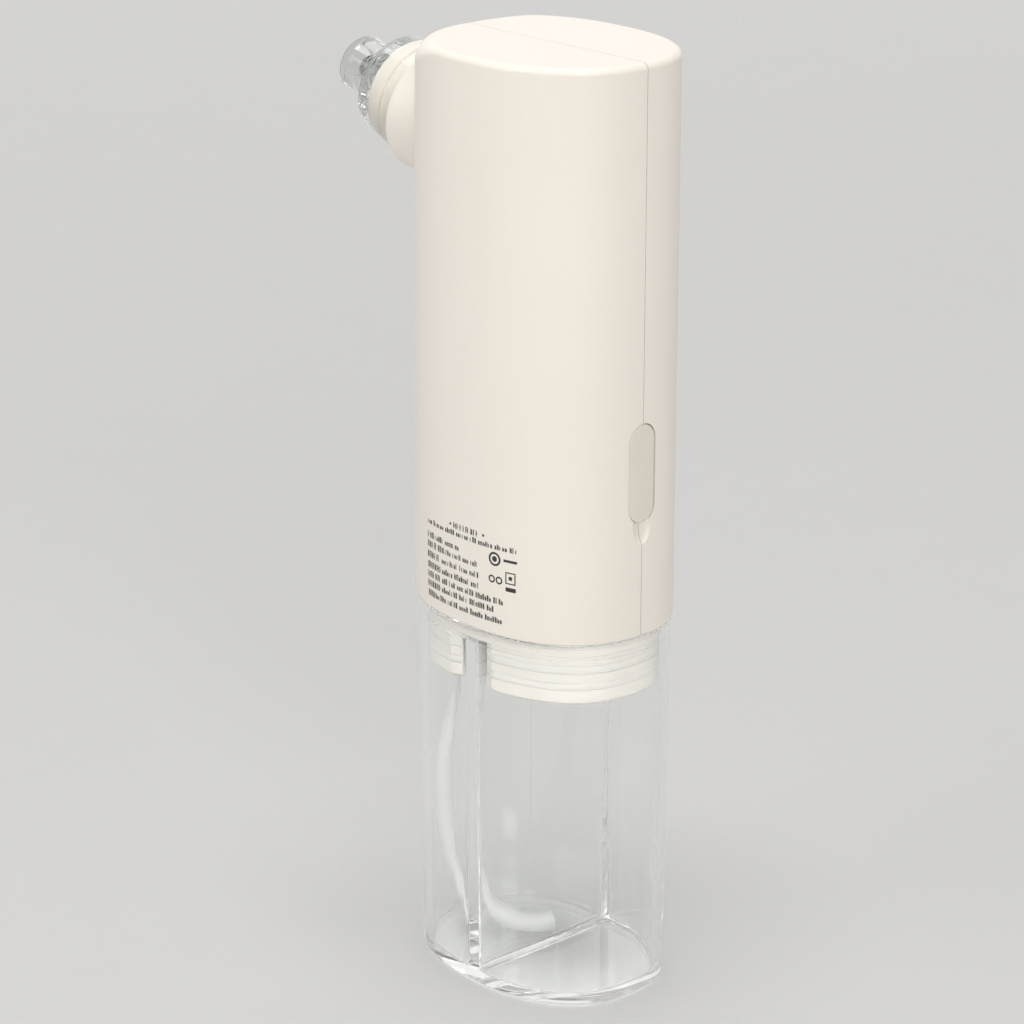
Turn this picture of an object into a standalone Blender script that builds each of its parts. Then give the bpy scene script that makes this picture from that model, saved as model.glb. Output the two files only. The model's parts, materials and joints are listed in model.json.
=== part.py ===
"""Handheld vacuum pore cleaner with a clear two-chamber water tank.

Frame: the origin is the centre of the tank's underside, +Z is up.
-X is the end that carries the suction nozzle, +X the end with the charging port,
-Y the printed wide face and +Y the wide face with the power button.
All lengths in this file are millimetres; meshes are written in metres.
"""

import math

import bmesh
import bpy
from mathutils import Matrix, Vector

METRES = 0.001

# --- driving dimensions -------------------------------------------------------------
HEIGHT = 180.0              # underside of the tank to the top of the body
HALF_LENGTH = 26.3          # half of the oval section along X
HALF_WIDTH = 20.0           # half of the oval section along Y
SQUARENESS = 2.31           # exponent of the oval; 2 would be an ellipse
OVAL_STEPS = 48             # points round the oval
HALF_STEPS = 20             # points round one half of it
GAP = 0.3                   # clearance between neighbouring pieces

# body
JOINT_Z = 73.7              # lower edge of the body, where the tank begins
SHELL_WALL = 2.0
TOP_FILLET = 2.6
LOCK_RIB_LOW = 74.7         # rib inside the shells that holds the base plug
LOCK_RIB_HIGH = 75.5
LOCK_RIB_DEPTH = 1.1

# tank
TANK_TOP = JOINT_Z - GAP
TANK_INSET = 0.3            # how far the tank's rim stands inside the body's outline
TANK_TAPER = 0.75           # how much further in its foot is
TANK_WALL = 1.8
TANK_RIM_WALL = 1.5
TANK_FLOOR = 2.0
PARTITION = 2.2             # thickness of the wall between the two chambers
PARTITION_TOP = 70.2
FOOT_FILLET = 0.8
CHAMBER_CORNER = 1.2

# base plug
PLUG_BOTTOM = 61.4
PLUG_TOP = 76.6
PLUG_INSET = 2.5
PLUG_BAND_INSET = 2.35
SLOT = 3.1                  # slot that takes the partition
SLOT_TOP = 70.7
PLUG_CORNER = 2.0           # rounded upright edges of the plug's legs
GROOVE_DEPTH = 0.8
GROOVES = ((64.2, 65.6), (67.4, 69.0))
PLUG_SKIN = 1.6             # wall and floor of the plug's pockets
WATER_PORT = (-17.6, -3.0)  # places on the plug, (x, y)
WASTE_PORT = (10.0, 3.0)
AIR_PORT = (10.0, -4.4)
STUB_TOP = 78.0
STUB_RADIUS = 1.7
STUB_BORE = 1.0
SOCKET_BOTTOM = 58.5

# suction tube that hangs in the clean chamber
TUBE_RADIUS = 2.0
TUBE_ROUTE = (
    (-17.6, -3.0, 58.2),
    (-17.8, -3.6, 54.0),
    (-18.1, -6.3, 46.5),
    (-17.9, -8.8, 38.5),
    (-17.5, -9.6, 31.0),
    (-16.6, -9.4, 23.0),
    (-14.7, -8.2, 15.5),
    (-11.4, -5.4, 8.8),
    (-7.8, -1.6, 5.2),
    (-5.2, 2.0, 4.3),
    (-3.9, 4.9, 4.3),
)
TUBE_STEP = 4.0

# nozzle: every station is a distance along the tilted axis from NOZZLE_ORIGIN
NOZZLE_ORIGIN = Vector((-24.0, 0.0, 161.7))
NOZZLE_TILT = math.radians(12.75)
NOZZLE_AXIS = Vector((-math.cos(NOZZLE_TILT), 0.0, math.sin(NOZZLE_TILT)))
NECK_RADIUS = 11.8
NECK_FRONT = 6.4
SPIGOT_RADIUS = 9.1
SPIGOT_FRONT = 14.1
HEAD_RADIUS = 10.36
HEAD_REAR = 6.8
HEAD_SHOULDER = 18.3
TIP_RADIUS = 5.3
TIP_END = 28.2
JET_RADIUS = 1.6
JET_REAR = -8.0
JET_END = 25.0
SUCTION_OFFSET = 4.6        # suction port's distance from the nozzle axis, along +Y
NOZZLE_SIDES = 28

# power button
BUTTON_X = 13.0
BUTTON_Z = 153.8
BUTTON_RADIUS = 5.0
BUTTON_PROUD = 1.0

# charging port
PORT_Z = 105.8
PORT_LENGTH = 18.4
PORT_WIDTH = 6.6
PORT_DEPTH_X = 24.95        # floor of the recess
COVER_HINGE_X = 26.2        # the cover bends about its upper outer edge
COVER_HINGE_Z = 114.9

# pump
PUMP_X = -4.0
PUMP_Y = 4.2
PUMP_SIDE = 20.0
MOTOR_RADIUS = 9.5
MOTOR_BOTTOM = 84.0
MOTOR_TOP = 110.6
HOUSING_BOTTOM = 111.6
HOUSING_TOP = 127.0
PUMP_TOP = 136.0
SCREW_OFFSET = 7.9
PUMP_INLET = (3.0, -3.6)
PUMP_OUTLET = (-8.0, 4.2)

# boards, battery and chassis
CHASSIS_Y = (-9.2, -7.6)
CHASSIS_Z = (80.0, 140.0)
CHASSIS_SCREWS = ((-16.0, 86.0), (16.0, 86.0), (-16.0, 134.0), (16.0, 134.0))
BOARD_Y = (8.0, 9.2)
BOARD_SCREWS = ((-7.0, 168.0), (14.5, 142.0))

# --- finishes: colour, roughness, metallic, transmission -----------------------------
FINISHES = {
    "ivory_plastic": ((0.86, 0.82, 0.76), 0.42, 0.0, 0.0),
    "clear_plastic": ((0.96, 0.97, 0.97), 0.05, 0.0, 1.0),
    "white_silicone": ((0.88, 0.88, 0.86), 0.50, 0.0, 0.3),
    "port_silicone": ((0.80, 0.76, 0.70), 0.60, 0.0, 0.0),
    "grey_plastic": ((0.42, 0.43, 0.44), 0.50, 0.0, 0.0),
    "black_plastic": ((0.03, 0.03, 0.03), 0.45, 0.0, 0.0),
    "circuit_green": ((0.04, 0.22, 0.10), 0.40, 0.0, 0.0),
    "battery_foil": ((0.62, 0.64, 0.68), 0.35, 0.8, 0.0),
    "steel": ((0.60, 0.60, 0.60), 0.28, 1.0, 0.0),
    "brass": ((0.72, 0.55, 0.28), 0.30, 1.0, 0.0),
    "wire_red": ((0.55, 0.05, 0.04), 0.45, 0.0, 0.0),
    "filter_foam": ((0.90, 0.90, 0.88), 0.95, 0.0, 0.0),
}


def finish(name):
    """Return the named material, made on first use."""
    material = bpy.data.materials.get(name)
    if material:
        return material
    colour, roughness, metallic, transmission = FINISHES[name]
    material = bpy.data.materials.new(name)
    material.use_nodes = True
    shader = material.node_tree.nodes["Principled BSDF"]
    shader.inputs["Base Color"].default_value = (*colour, 1.0)
    shader.inputs["Roughness"].default_value = roughness
    shader.inputs["Metallic"].default_value = metallic
    shader.inputs["Transmission Weight"].default_value = transmission
    return material


# --- outlines ------------------------------------------------------------------------
def oval_point(angle, inset):
    """Point of the oval section, moved inwards along its normal by inset."""
    c, s = math.cos(angle), math.sin(angle)
    power = 2.0 / SQUARENESS
    x = HALF_LENGTH * math.copysign(abs(c) ** power, c)
    y = HALF_WIDTH * math.copysign(abs(s) ** power, s)
    nx = math.copysign(abs(x / HALF_LENGTH) ** (SQUARENESS - 1) / HALF_LENGTH, x)
    ny = math.copysign(abs(y / HALF_WIDTH) ** (SQUARENESS - 1) / HALF_WIDTH, y)
    size = math.hypot(nx, ny)
    return x - inset * nx / size, y - inset * ny / size


def oval(inset, z):
    """Whole oval ring at height z."""
    angles = (2 * math.pi * k / OVAL_STEPS for k in range(OVAL_STEPS))
    return [Vector((*oval_point(angle, inset), z)) for angle in angles]


def angle_at(x_wanted, inset):
    """Angle in the first quadrant at which the oval's x equals x_wanted."""
    low, high = 0.0, math.pi / 2
    for _ in range(40):
        middle = (low + high) / 2
        if oval_point(middle, inset)[0] > x_wanted:
            low = middle
        else:
            high = middle
    return low


def corner_arc(corner, towards_a, towards_b, radius, steps=3):
    """Points that round a corner, from the side of a to the side of b."""
    a = (towards_a - corner).normalized()
    b = (towards_b - corner).normalized()
    half_angle = a.angle(b) / 2
    centre = corner + (a + b).normalized() * radius / math.sin(half_angle)
    start = corner + a * radius / math.tan(half_angle) - centre
    end = corner + b * radius / math.tan(half_angle) - centre
    return [centre + start.slerp(end, k / steps) for k in range(steps + 1)]


def half_oval(side, inset, chord, corner, z):
    """D-shaped ring: the side of the oval beyond x = side * chord, corners rounded."""
    limit = angle_at(chord + 1.4 * corner, inset)
    arc = []
    for k in range(HALF_STEPS + 1):
        angle = limit * (2 * k / HALF_STEPS - 1)
        arc.append(Vector(oval_point(angle, inset)))
    tangent = (arc[-1] - arc[-2]).normalized()
    upper = arc[-1] + tangent * (chord - arc[-1].x) / tangent.x
    lower = Vector((upper.x, -upper.y))
    ring = arc[1:-1]
    ring += corner_arc(upper, arc[-1], lower, corner)
    ring += corner_arc(lower, upper, arc[0], corner)
    return [Vector((side * p.x, p.y, z)) for p in ring]


def stadium(length, width, steps=6):
    """Outline of a pill, its long axis along the second coordinate."""
    radius = width / 2
    straight = length / 2 - radius
    points = []
    for sign in (1, -1):
        for k in range(steps + 1):
            angle = math.pi * k / steps
            points.append((sign * radius * math.cos(angle),
                           sign * (straight + radius * math.sin(angle))))
    return points


# --- shapes: each is a pair (points, faces) -------------------------------------------
def band_faces(first, second, count):
    """Quads between two rings that start at the given point numbers."""
    return [(first + k, first + (k + 1) % count, second + (k + 1) % count, second + k)
            for k in range(count)]


def loft(rings, closed=False):
    """Skin over a stack of rings; closed joins the last ring to the first."""
    count = len(rings[0])
    points = [p for ring in rings for p in ring]
    faces = []
    for k in range(len(rings) - 1):
        faces += band_faces(k * count, (k + 1) * count, count)
    last = (len(rings) - 1) * count
    if closed:
        faces += band_faces(last, 0, count)
    else:
        faces += [tuple(range(count)), tuple(range(last, last + count))]
    return points, faces


def box(low, high):
    """Box between two corners."""
    corners = [(low[0], low[1]), (high[0], low[1]), (high[0], high[1]), (low[0], high[1])]
    return loft([[Vector((x, y, z)) for x, y in corners] for z in (low[2], high[2])])


def frame_along(direction):
    """Rotation that takes +Z to the given direction."""
    return direction.to_track_quat("Z", "Y").to_matrix()


def ring_about(centre, direction, radius, sides):
    """Circle of points about an axis."""
    turn = frame_along(direction)
    ring = []
    for k in range(sides):
        angle = 2 * math.pi * k / sides
        offset = Vector((radius * math.cos(angle), radius * math.sin(angle), 0.0))
        ring.append(centre + turn @ offset)
    return ring


def cylinder(start, end, radius, sides=16):
    """Round bar between two points."""
    start, end = Vector(start), Vector(end)
    direction = end - start
    return loft([ring_about(p, direction, radius, sides) for p in (start, end)])


def turned(profile, origin, direction, sides):
    """Body turned from a closed profile of (radius, station) pairs about an axis."""
    rings = [ring_about(origin + direction * s, direction, r, sides) for r, s in profile]
    return loft(rings, closed=True)


def pill_bar(length, width, x_from, x_to, y=0.0, z=0.0):
    """Pill-shaped bar along X, its long side upright."""
    outline = stadium(length, width)
    return loft([[Vector((x, y + a, z + b)) for a, b in outline] for x in (x_from, x_to)])


def smooth_path(knots, step):
    """Points at an even step along a smooth curve through the knots."""
    knots = [Vector(p) for p in knots]
    ends = [2 * knots[0] - knots[1], *knots, 2 * knots[-1] - knots[-2]]
    fine = []
    for p0, p1, p2, p3 in zip(ends, ends[1:], ends[2:], ends[3:]):
        for k in range(12):
            t = k / 12
            fine.append(0.5 * ((2 * p1) + (p2 - p0) * t
                               + (2 * p0 - 5 * p1 + 4 * p2 - p3) * t ** 2
                               + (3 * p1 - p0 - 3 * p2 + p3) * t ** 3))
    fine.append(knots[-1])
    lengths = [0.0]
    for a, b in zip(fine, fine[1:]):
        lengths.append(lengths[-1] + (b - a).length)
    count = max(2, round(lengths[-1] / step))
    path, place = [], 0
    for k in range(count + 1):
        wanted = lengths[-1] * k / count
        while place < len(lengths) - 2 and lengths[place + 1] < wanted:
            place += 1
        share = (wanted - lengths[place]) / (lengths[place + 1] - lengths[place])
        path.append(fine[place].lerp(fine[place + 1], share))
    return path


def swept_ring(path, radius, sides):
    """Rings along a path, kept from twisting by carrying one side vector along it."""
    rings = []
    side = Vector((0.0, 1.0, 0.0))
    for k, p in enumerate(path):
        along = (path[min(k + 1, len(path) - 1)] - path[max(k - 1, 0)]).normalized()
        side = (side - along * side.dot(along)).normalized()
        other = along.cross(side)
        ring = []
        for j in range(sides):
            angle = 2 * math.pi * j / sides
            ring.append(p + radius * (side * math.cos(angle) + other * math.sin(angle)))
        rings.append(ring)
    return rings


def hose(knots, radius, bore, step=6.0, sides=7):
    """Flexible tube with an open bore, along a smooth route."""
    path = smooth_path(knots, step)
    outside = swept_ring(path, radius, sides)
    inside = swept_ring(path, bore, sides)
    return loft(outside + inside[::-1], closed=True)


def wire(knots, radius=0.8, step=6.0):
    """Solid lead along a smooth route."""
    return loft(swept_ring(smooth_path(knots, step), radius, 5))


def together(*shapes):
    """Several shapes, clear of each other, as one."""
    points, faces = [], []
    for shape_points, shape_faces in shapes:
        start = len(points)
        points += shape_points
        faces += [tuple(start + k for k in face) for face in shape_faces]
    return points, faces


# --- objects -------------------------------------------------------------------------
def add(name, shape, material, origin=(0.0, 0.0, 0.0), sharp=35.0):
    """Make an object from a shape, with its own origin and smooth round faces."""
    points, faces = shape
    mesh = bpy.data.meshes.new(name)
    origin = Vector(origin)
    mesh.from_pydata([(p - origin) * METRES for p in points], [], faces)
    work = bmesh.new()
    work.from_mesh(mesh)
    bmesh.ops.recalc_face_normals(work, faces=work.faces)
    work.to_mesh(mesh)
    work.free()
    mesh.shade_smooth()
    mesh.set_sharp_from_angle(angle=math.radians(sharp))
    mesh.materials.append(finish(material))
    thing = bpy.data.objects.new(name, mesh)
    thing.location = origin * METRES
    bpy.context.scene.collection.objects.link(thing)
    return thing


def combine(thing, shape, operation="DIFFERENCE"):
    """Cut a shape from an object, or join it on, with a Boolean modifier."""
    number = len(thing.modifiers) + 1
    tool = add(f"{thing.name}_tool_{number}", shape, "grey_plastic")
    tool.hide_render = True
    tool.display_type = "WIRE"
    modifier = thing.modifiers.new(f"{operation.lower()}_{number}", "BOOLEAN")
    modifier.operation = operation
    modifier.solver = "EXACT"
    modifier.object = tool


def union(thing, shape):
    """Join a shape on to an object."""
    combine(thing, shape, "UNION")


def tank_inset(z):
    """How far the tank's outside stands inside the body's outline at height z."""
    return TANK_INSET + TANK_TAPER * (1.0 - z / TANK_TOP)


def chamber(side):
    """Hollow of one tank chamber, with a rounded foot."""
    rings = []
    for z, extra in ((TANK_FLOOR, 0.9), (TANK_FLOOR + 0.3, 0.3), (TANK_FLOOR + 1.0, 0.0),
                     (PARTITION_TOP + 0.5, 0.0)):
        rings.append(half_oval(side, tank_inset(z) + TANK_WALL + extra,
                               PARTITION / 2 + extra, CHAMBER_CORNER, z))
    return loft(rings)


def make_tank():
    """Clear tank: one moulding with a wall between clean and waste water."""
    rings = []
    for z, extra in ((0.0, FOOT_FILLET), (0.25, 0.25), (FOOT_FILLET, 0.0), (TANK_TOP, 0.0)):
        rings.append(oval(tank_inset(z) + extra, z))
    tank = add("clear_tank", loft(rings), "clear_plastic")
    for side in (-1, 1):
        combine(tank, chamber(side))
    mouth = [oval(tank_inset(z) + TANK_RIM_WALL, z) for z in (PARTITION_TOP, TANK_TOP + 1)]
    combine(tank, loft(mouth))


def plug_half(side):
    """One leg of the base plug, with its two seal grooves."""
    stack = [(PLUG_BOTTOM, 0.4), (PLUG_BOTTOM + 0.4, 0.0)]
    for low, high in GROOVES:
        stack += [(low, 0.0), (low, GROOVE_DEPTH), (high, GROOVE_DEPTH), (high, 0.0)]
    stack.append((SLOT_TOP + 0.5, 0.0))
    return loft([half_oval(side, PLUG_INSET + extra, SLOT / 2 + extra, PLUG_CORNER, z)
                 for z, extra in stack])


def plug_pocket(side):
    """Hollow inside one leg of the plug, open at the top."""
    inset = PLUG_INSET + GROOVE_DEPTH + PLUG_SKIN
    chord = SLOT / 2 + GROOVE_DEPTH + PLUG_SKIN
    floor = PLUG_BOTTOM + PLUG_SKIN + 0.2
    return loft([half_oval(side, inset, chord, 1.0, z) for z in (floor, PLUG_TOP + 1)])


def make_base_plug():
    """Plug that closes the body and reaches down into both tank chambers."""
    lock_low, lock_high = LOCK_RIB_LOW - GAP, LOCK_RIB_HIGH + GAP
    lock_inset = SHELL_WALL + LOCK_RIB_DEPTH + GAP
    stack = [(SLOT_TOP, PLUG_BAND_INSET), (lock_low, PLUG_BAND_INSET), (lock_low, lock_inset),
             (lock_high, lock_inset), (lock_high, PLUG_BAND_INSET), (PLUG_TOP, PLUG_BAND_INSET)]
    plug = add("base_plug", loft([oval(inset, z) for z, inset in stack]), "ivory_plastic")
    for side in (-1, 1):
        union(plug, plug_half(side))
        combine(plug, plug_pocket(side))
    inside = PLUG_BOTTOM + 1.0
    stubs = [cylinder((*port, inside), (*port, STUB_TOP), STUB_RADIUS, 12)
             for port in (WATER_PORT, WASTE_PORT, AIR_PORT)]
    union(plug, together(*stubs))
    sockets = [cylinder((*port, SOCKET_BOTTOM), (*port, inside - 0.2), 2.8)
               for port in (WATER_PORT, WASTE_PORT)]
    union(plug, together(*sockets))
    bores = [cylinder((*port, SOCKET_BOTTOM - 1), (*port, STUB_TOP + 1), STUB_BORE, 8)
             for port in (WATER_PORT, WASTE_PORT, AIR_PORT)]
    combine(plug, together(*bores))
    filter_seat = cylinder((*AIR_PORT, PLUG_BOTTOM - 1), (*AIR_PORT, PLUG_BOTTOM + 1.1), 3.2)
    combine(plug, filter_seat)


def make_seals():
    """Silicone seals in the plug's grooves, one loop round each leg at two levels."""
    proud = 0.15
    for side, chamber_name in ((-1, "clean"), (1, "waste")):
        for (low, high), level in zip(GROOVES, ("lower", "upper")):
            low, high = low + 0.2, high - 0.2
            outer, inner = -proud, GROOVE_DEPTH - GAP
            stack = [(low, outer), (high, outer), (high, inner), (low, inner)]
            rings = [half_oval(side, PLUG_INSET + extra, SLOT / 2 + extra, PLUG_CORNER, z)
                     for z, extra in stack]
            add(f"{chamber_name}_seal_{level}", loft(rings, closed=True), "white_silicone")


def make_air_filter():
    """Foam disc that keeps spray out of the pump's air intake."""
    bottom = PLUG_BOTTOM + 0.1
    disc = cylinder((*AIR_PORT, bottom), (*AIR_PORT, bottom + 0.75), 2.9)
    add("air_filter", disc, "filter_foam")


def make_suction_tube():
    """Free silicone tube that reaches from the plug to the chamber's floor."""
    curve = bpy.data.curves.new("suction_tube", "CURVE")
    curve.dimensions = "3D"
    curve.bevel_depth = TUBE_RADIUS * METRES
    curve.bevel_resolution = 3
    curve.use_fill_caps = True
    path = smooth_path(TUBE_ROUTE, TUBE_STEP)
    spline = curve.splines.new("POLY")
    spline.points.add(len(path) - 1)
    for point, place in zip(spline.points, path):
        point.co = (*(place * METRES), 1.0)
    curve.materials.append(finish("white_silicone"))
    tube = bpy.data.objects.new("suction_tube", curve)
    bpy.context.scene.collection.objects.link(tube)


def body_rings(inset, bottom, top, fillet):
    """Rings of the body's outside or hollow, with a rounded upper edge."""
    rings = [oval(inset, bottom), oval(inset, top - fillet)]
    steps = 3
    for k in range(1, steps + 1):
        angle = math.pi / 2 * k / steps
        rings.append(oval(inset + fillet * (1 - math.cos(angle)),
                          top - fillet * (1 - math.sin(angle))))
    return rings


def hollow_rings():
    """Inside of the shells, with the rib that locks the base plug."""
    rib = SHELL_WALL + LOCK_RIB_DEPTH
    rings = [oval(SHELL_WALL, JOINT_Z - 1)]
    for z, inset in ((LOCK_RIB_LOW, SHELL_WALL), (LOCK_RIB_LOW, rib),
                     (LOCK_RIB_HIGH, rib), (LOCK_RIB_HIGH, SHELL_WALL)):
        rings.append(oval(inset, z))
    return rings + body_rings(SHELL_WALL, LOCK_RIB_HIGH + 1, HEIGHT - SHELL_WALL, 1.5)


def clip_tabs():
    """Tabs that locate the two shells on each other, rooted in the printed shell."""
    tabs = []
    for side, heights in ((1, (84.0, 128.0, 150.0)), (-1, (84.0, 108.0, 134.0))):
        for z in heights:
            x_in, x_out = side * 22.6, side * 23.75
            tabs.append(box((min(x_in, x_out), -9.0, z), (max(x_in, x_out), 2.4, z + 4.0)))
    return together(*tabs)


def port_cutters():
    """Recess for the port cover, with the opening for the plug behind it."""
    recess = pill_bar(PORT_LENGTH, PORT_WIDTH, PORT_DEPTH_X, HALF_LENGTH + 2, z=PORT_Z)
    opening = pill_bar(9.6, 3.9, 22.0, PORT_DEPTH_X + 0.5, z=PORT_Z)
    return recess, opening


def finger_scoop():
    """Tapered hollow under the port cover for a fingernail."""
    rings = []
    for k in range(7):
        share = k / 6
        z = PORT_Z - PORT_LENGTH / 2 + 0.6 - 6.0 * share
        size = 1.0 - share ** 1.6 * 0.92
        rings.append([Vector((26.9 + 1.7 * size * math.cos(a), 1.9 * size * math.sin(a), z))
                      for a in (2 * math.pi * j / 16 for j in range(16))])
    return loft(rings)


def make_shell(name, side):
    """Half of the body; side is -1 for the printed half and +1 for the button half."""
    outside = [oval(0.3, JOINT_Z), oval(0.0, JOINT_Z + 0.3)]
    outside += body_rings(0.0, JOINT_Z + 1, HEIGHT, TOP_FILLET)[1:]
    shell = add(name, loft(outside), "ivory_plastic")
    combine(shell, loft(hollow_rings()))
    reach = 40.0
    edge = side * GAP / 2
    low, high = sorted((edge, -side * reach))
    combine(shell, box((-reach, low, 0.0), (reach, high, HEIGHT + 20)))
    opening = cylinder(NOZZLE_ORIGIN - NOZZLE_AXIS * 9, NOZZLE_ORIGIN + NOZZLE_AXIS * 9,
                       NECK_RADIUS + GAP, NOZZLE_SIDES)
    combine(shell, opening)
    for cutter in port_cutters():
        combine(shell, cutter)
    combine(shell, finger_scoop())
    return shell


def screw_boss(x, z, y_end, y_wall):
    """Post for a screw, standing on a shell's inner wall."""
    return cylinder((x, y_end, z), (x, y_wall, z), 2.5, 12)


def make_shells():
    """The two halves of the body, with their bosses and openings."""
    printed = make_shell("printed_shell", -1)
    union(printed, clip_tabs())
    union(printed, together(*[screw_boss(x, z, CHASSIS_Y[0] - GAP, -15.6)
                              for x, z in CHASSIS_SCREWS]))
    combine(printed, together(*[cylinder((x, -15.0, z), (x, -8.0, z), 1.3, 8)
                                for x, z in CHASSIS_SCREWS]))
    button = make_shell("button_shell", 1)
    union(button, together(*[screw_boss(x, z, BOARD_Y[1] + GAP, y_wall)
                             for (x, z), y_wall in zip(BOARD_SCREWS, (18.0, 16.2))]))
    combine(button, together(*[cylinder((x, 15.0, z), (x, 8.0, z), 1.3, 8)
                               for x, z in BOARD_SCREWS]))
    hole = cylinder((BUTTON_X, 10.0, BUTTON_Z), (BUTTON_X, 25.0, BUTTON_Z),
                    BUTTON_RADIUS + GAP, 32)
    combine(button, hole)


def make_button():
    """Power button, its cap curved like the shell it stands in, with two retaining tabs."""
    def at(y):
        return Vector((BUTTON_X, y, BUTTON_Z))

    bar = loft([ring_about(at(y), Vector((0, 1, 0)), BUTTON_RADIUS, 32) for y in (12.0, 30.0)])
    button = add("power_button", bar, "ivory_plastic", at(17.0))
    outline = loft([oval(-BUTTON_PROUD, 60.0), oval(-BUTTON_PROUD, HEIGHT + 5)])
    combine(button, outline, "INTERSECT")
    combine(button, box(at(8.0) - Vector((8, 0, 8)), at(14.6) + Vector((8, 0, 8))))
    union(button, box(at(14.2) - Vector((2, 0, 6.3)), at(15.0) + Vector((2, 0, 6.3))))
    union(button, cylinder(at(14.1), at(15.6), 1.6, 16))


def make_switch():
    """Tact switch under the button, with its own plunger."""
    top = BOARD_Y[1] + GAP + 3.3
    body = box((BUTTON_X - 3, BOARD_Y[1] + GAP, BUTTON_Z - 3), (BUTTON_X + 3, top, BUTTON_Z + 3))
    switch = add("tact_switch", body, "black_plastic")
    combine(switch, cylinder((BUTTON_X, top - 1.8, BUTTON_Z), (BUTTON_X, top + 1, BUTTON_Z), 2.0, 16))
    plunger = cylinder((BUTTON_X, top - 0.9, BUTTON_Z), (BUTTON_X, 13.8, BUTTON_Z), 1.7, 12)
    add("switch_plunger", plunger, "steel", (BUTTON_X, 13.8, BUTTON_Z))


def make_nozzle():
    """Neck, spigot, seal, jet tube and the clear head that pushes on."""
    def turn(name, profile, material, sides=NOZZLE_SIDES, origin=(0, 0, 0)):
        return add(name, turned(profile, NOZZLE_ORIGIN, NOZZLE_AXIS, sides), material, origin)

    bore = SPIGOT_RADIUS + GAP
    turn("nozzle_neck", (
        (bore, -8.8), (13.4, -8.8), (13.4, -7.2), (NECK_RADIUS, -7.2), (NECK_RADIUS, 5.3),
        (11.6, 5.8), (11.2, 6.1), (10.4, 6.3), (bore, NECK_FRONT)), "ivory_plastic")

    hole = JET_RADIUS + GAP
    spigot = turn("nozzle_spigot", (
        (hole, 8.0), (7.6, 8.0), (7.6, -10.7), (12.4, -10.7), (12.4, -9.1),
        (SPIGOT_RADIUS, -9.1), (SPIGOT_RADIUS, 9.4), (8.0, 9.4), (8.0, 10.9), (8.9, 10.9),
        (8.9, 13.2), (8.7, 13.8), (8.2, SPIGOT_FRONT), (7.5, SPIGOT_FRONT), (7.2, 13.7),
        (7.2, 9.6), (hole, 9.6)), "ivory_plastic")
    port = NOZZLE_ORIGIN + Vector((0.0, SUCTION_OFFSET, 0.0))
    union(spigot, cylinder(port + NOZZLE_AXIS * 4.0, port + NOZZLE_AXIS * 8.6, 2.2, 16))
    combine(spigot, cylinder(port + NOZZLE_AXIS * 3.0, port + NOZZLE_AXIS * 11.0, 1.3, 8))

    seal = []
    for k in range(6):
        angle = 2 * math.pi * k / 6
        seal.append((8.72 + 0.45 * math.cos(angle), 10.15 + 0.45 * math.sin(angle)))
    turn("spigot_seal_ring", seal, "white_silicone")

    turn("water_jet_tube", (
        (0.8, JET_REAR), (JET_RADIUS, JET_REAR), (JET_RADIUS, 6.0), (2.1, 6.0), (2.1, 7.7),
        (JET_RADIUS, 7.7), (JET_RADIUS, JET_END - 0.3), (1.3, JET_END), (0.8, JET_END)),
        "clear_plastic", 16)

    front_inside = HEAD_SHOULDER - 1.3
    inside = HEAD_RADIUS - 1.0
    bore = TIP_RADIUS - 1.3
    turn("suction_head", (
        (inside, HEAD_REAR), (HEAD_RADIUS - 0.3, HEAD_REAR), (HEAD_RADIUS, HEAD_REAR + 0.3),
        (HEAD_RADIUS, 16.8), (10.1, 17.6), (9.5, 18.1), (8.8, HEAD_SHOULDER),
        (TIP_RADIUS + 0.5, HEAD_SHOULDER), (TIP_RADIUS, HEAD_SHOULDER + 0.5),
        (TIP_RADIUS, TIP_END - 0.5), (TIP_RADIUS - 0.4, TIP_END), (bore + 0.3, TIP_END),
        (bore, TIP_END - 0.4), (bore, front_inside + 0.5), (bore + 0.5, front_inside),
        (inside - 0.8, front_inside), (inside, front_inside - 0.8)), "clear_plastic",
        origin=NOZZLE_ORIGIN + NOZZLE_AXIS * HEAD_REAR)


def make_port_cover():
    """Silicone flap over the charging port, hinged at its upper end."""
    hinge = (COVER_HINGE_X, 0.0, COVER_HINGE_Z)
    slab = pill_bar(PORT_LENGTH - 0.5, PORT_WIDTH - 0.5, PORT_DEPTH_X + GAP, HALF_LENGTH + 2,
                    z=PORT_Z)
    cover = add("port_cover", slab, "port_silicone", hinge)
    combine(cover, loft([oval(0.05, 80.0), oval(0.05, 140.0)]), "INTERSECT")
    union(cover, pill_bar(7.6, 2.3, 23.9, PORT_DEPTH_X + 0.6, z=PORT_Z))


def make_charging():
    """Socket and the small board that carries it."""
    socket = add("usb_socket", pill_bar(9.0, 3.3, 16.4, 23.6, z=PORT_Z), "steel")
    combine(socket, pill_bar(8.3, 2.6, 17.6, 25.0, z=PORT_Z))
    add("charge_board", box((14.5, -3.1, 97.5), (22.5, -2.0, 114.0)), "circuit_green")
    add("charge_lead", wire(((18.2, -2.5, 114.4), (17.8, -1.4, 121.0), (17.2, 3.0, 132.0),
                             (17.0, 4.4, 140.0), (17.0, 5.4, 148.0), (16.8, 6.9, 154.0))),
        "wire_red")


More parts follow.
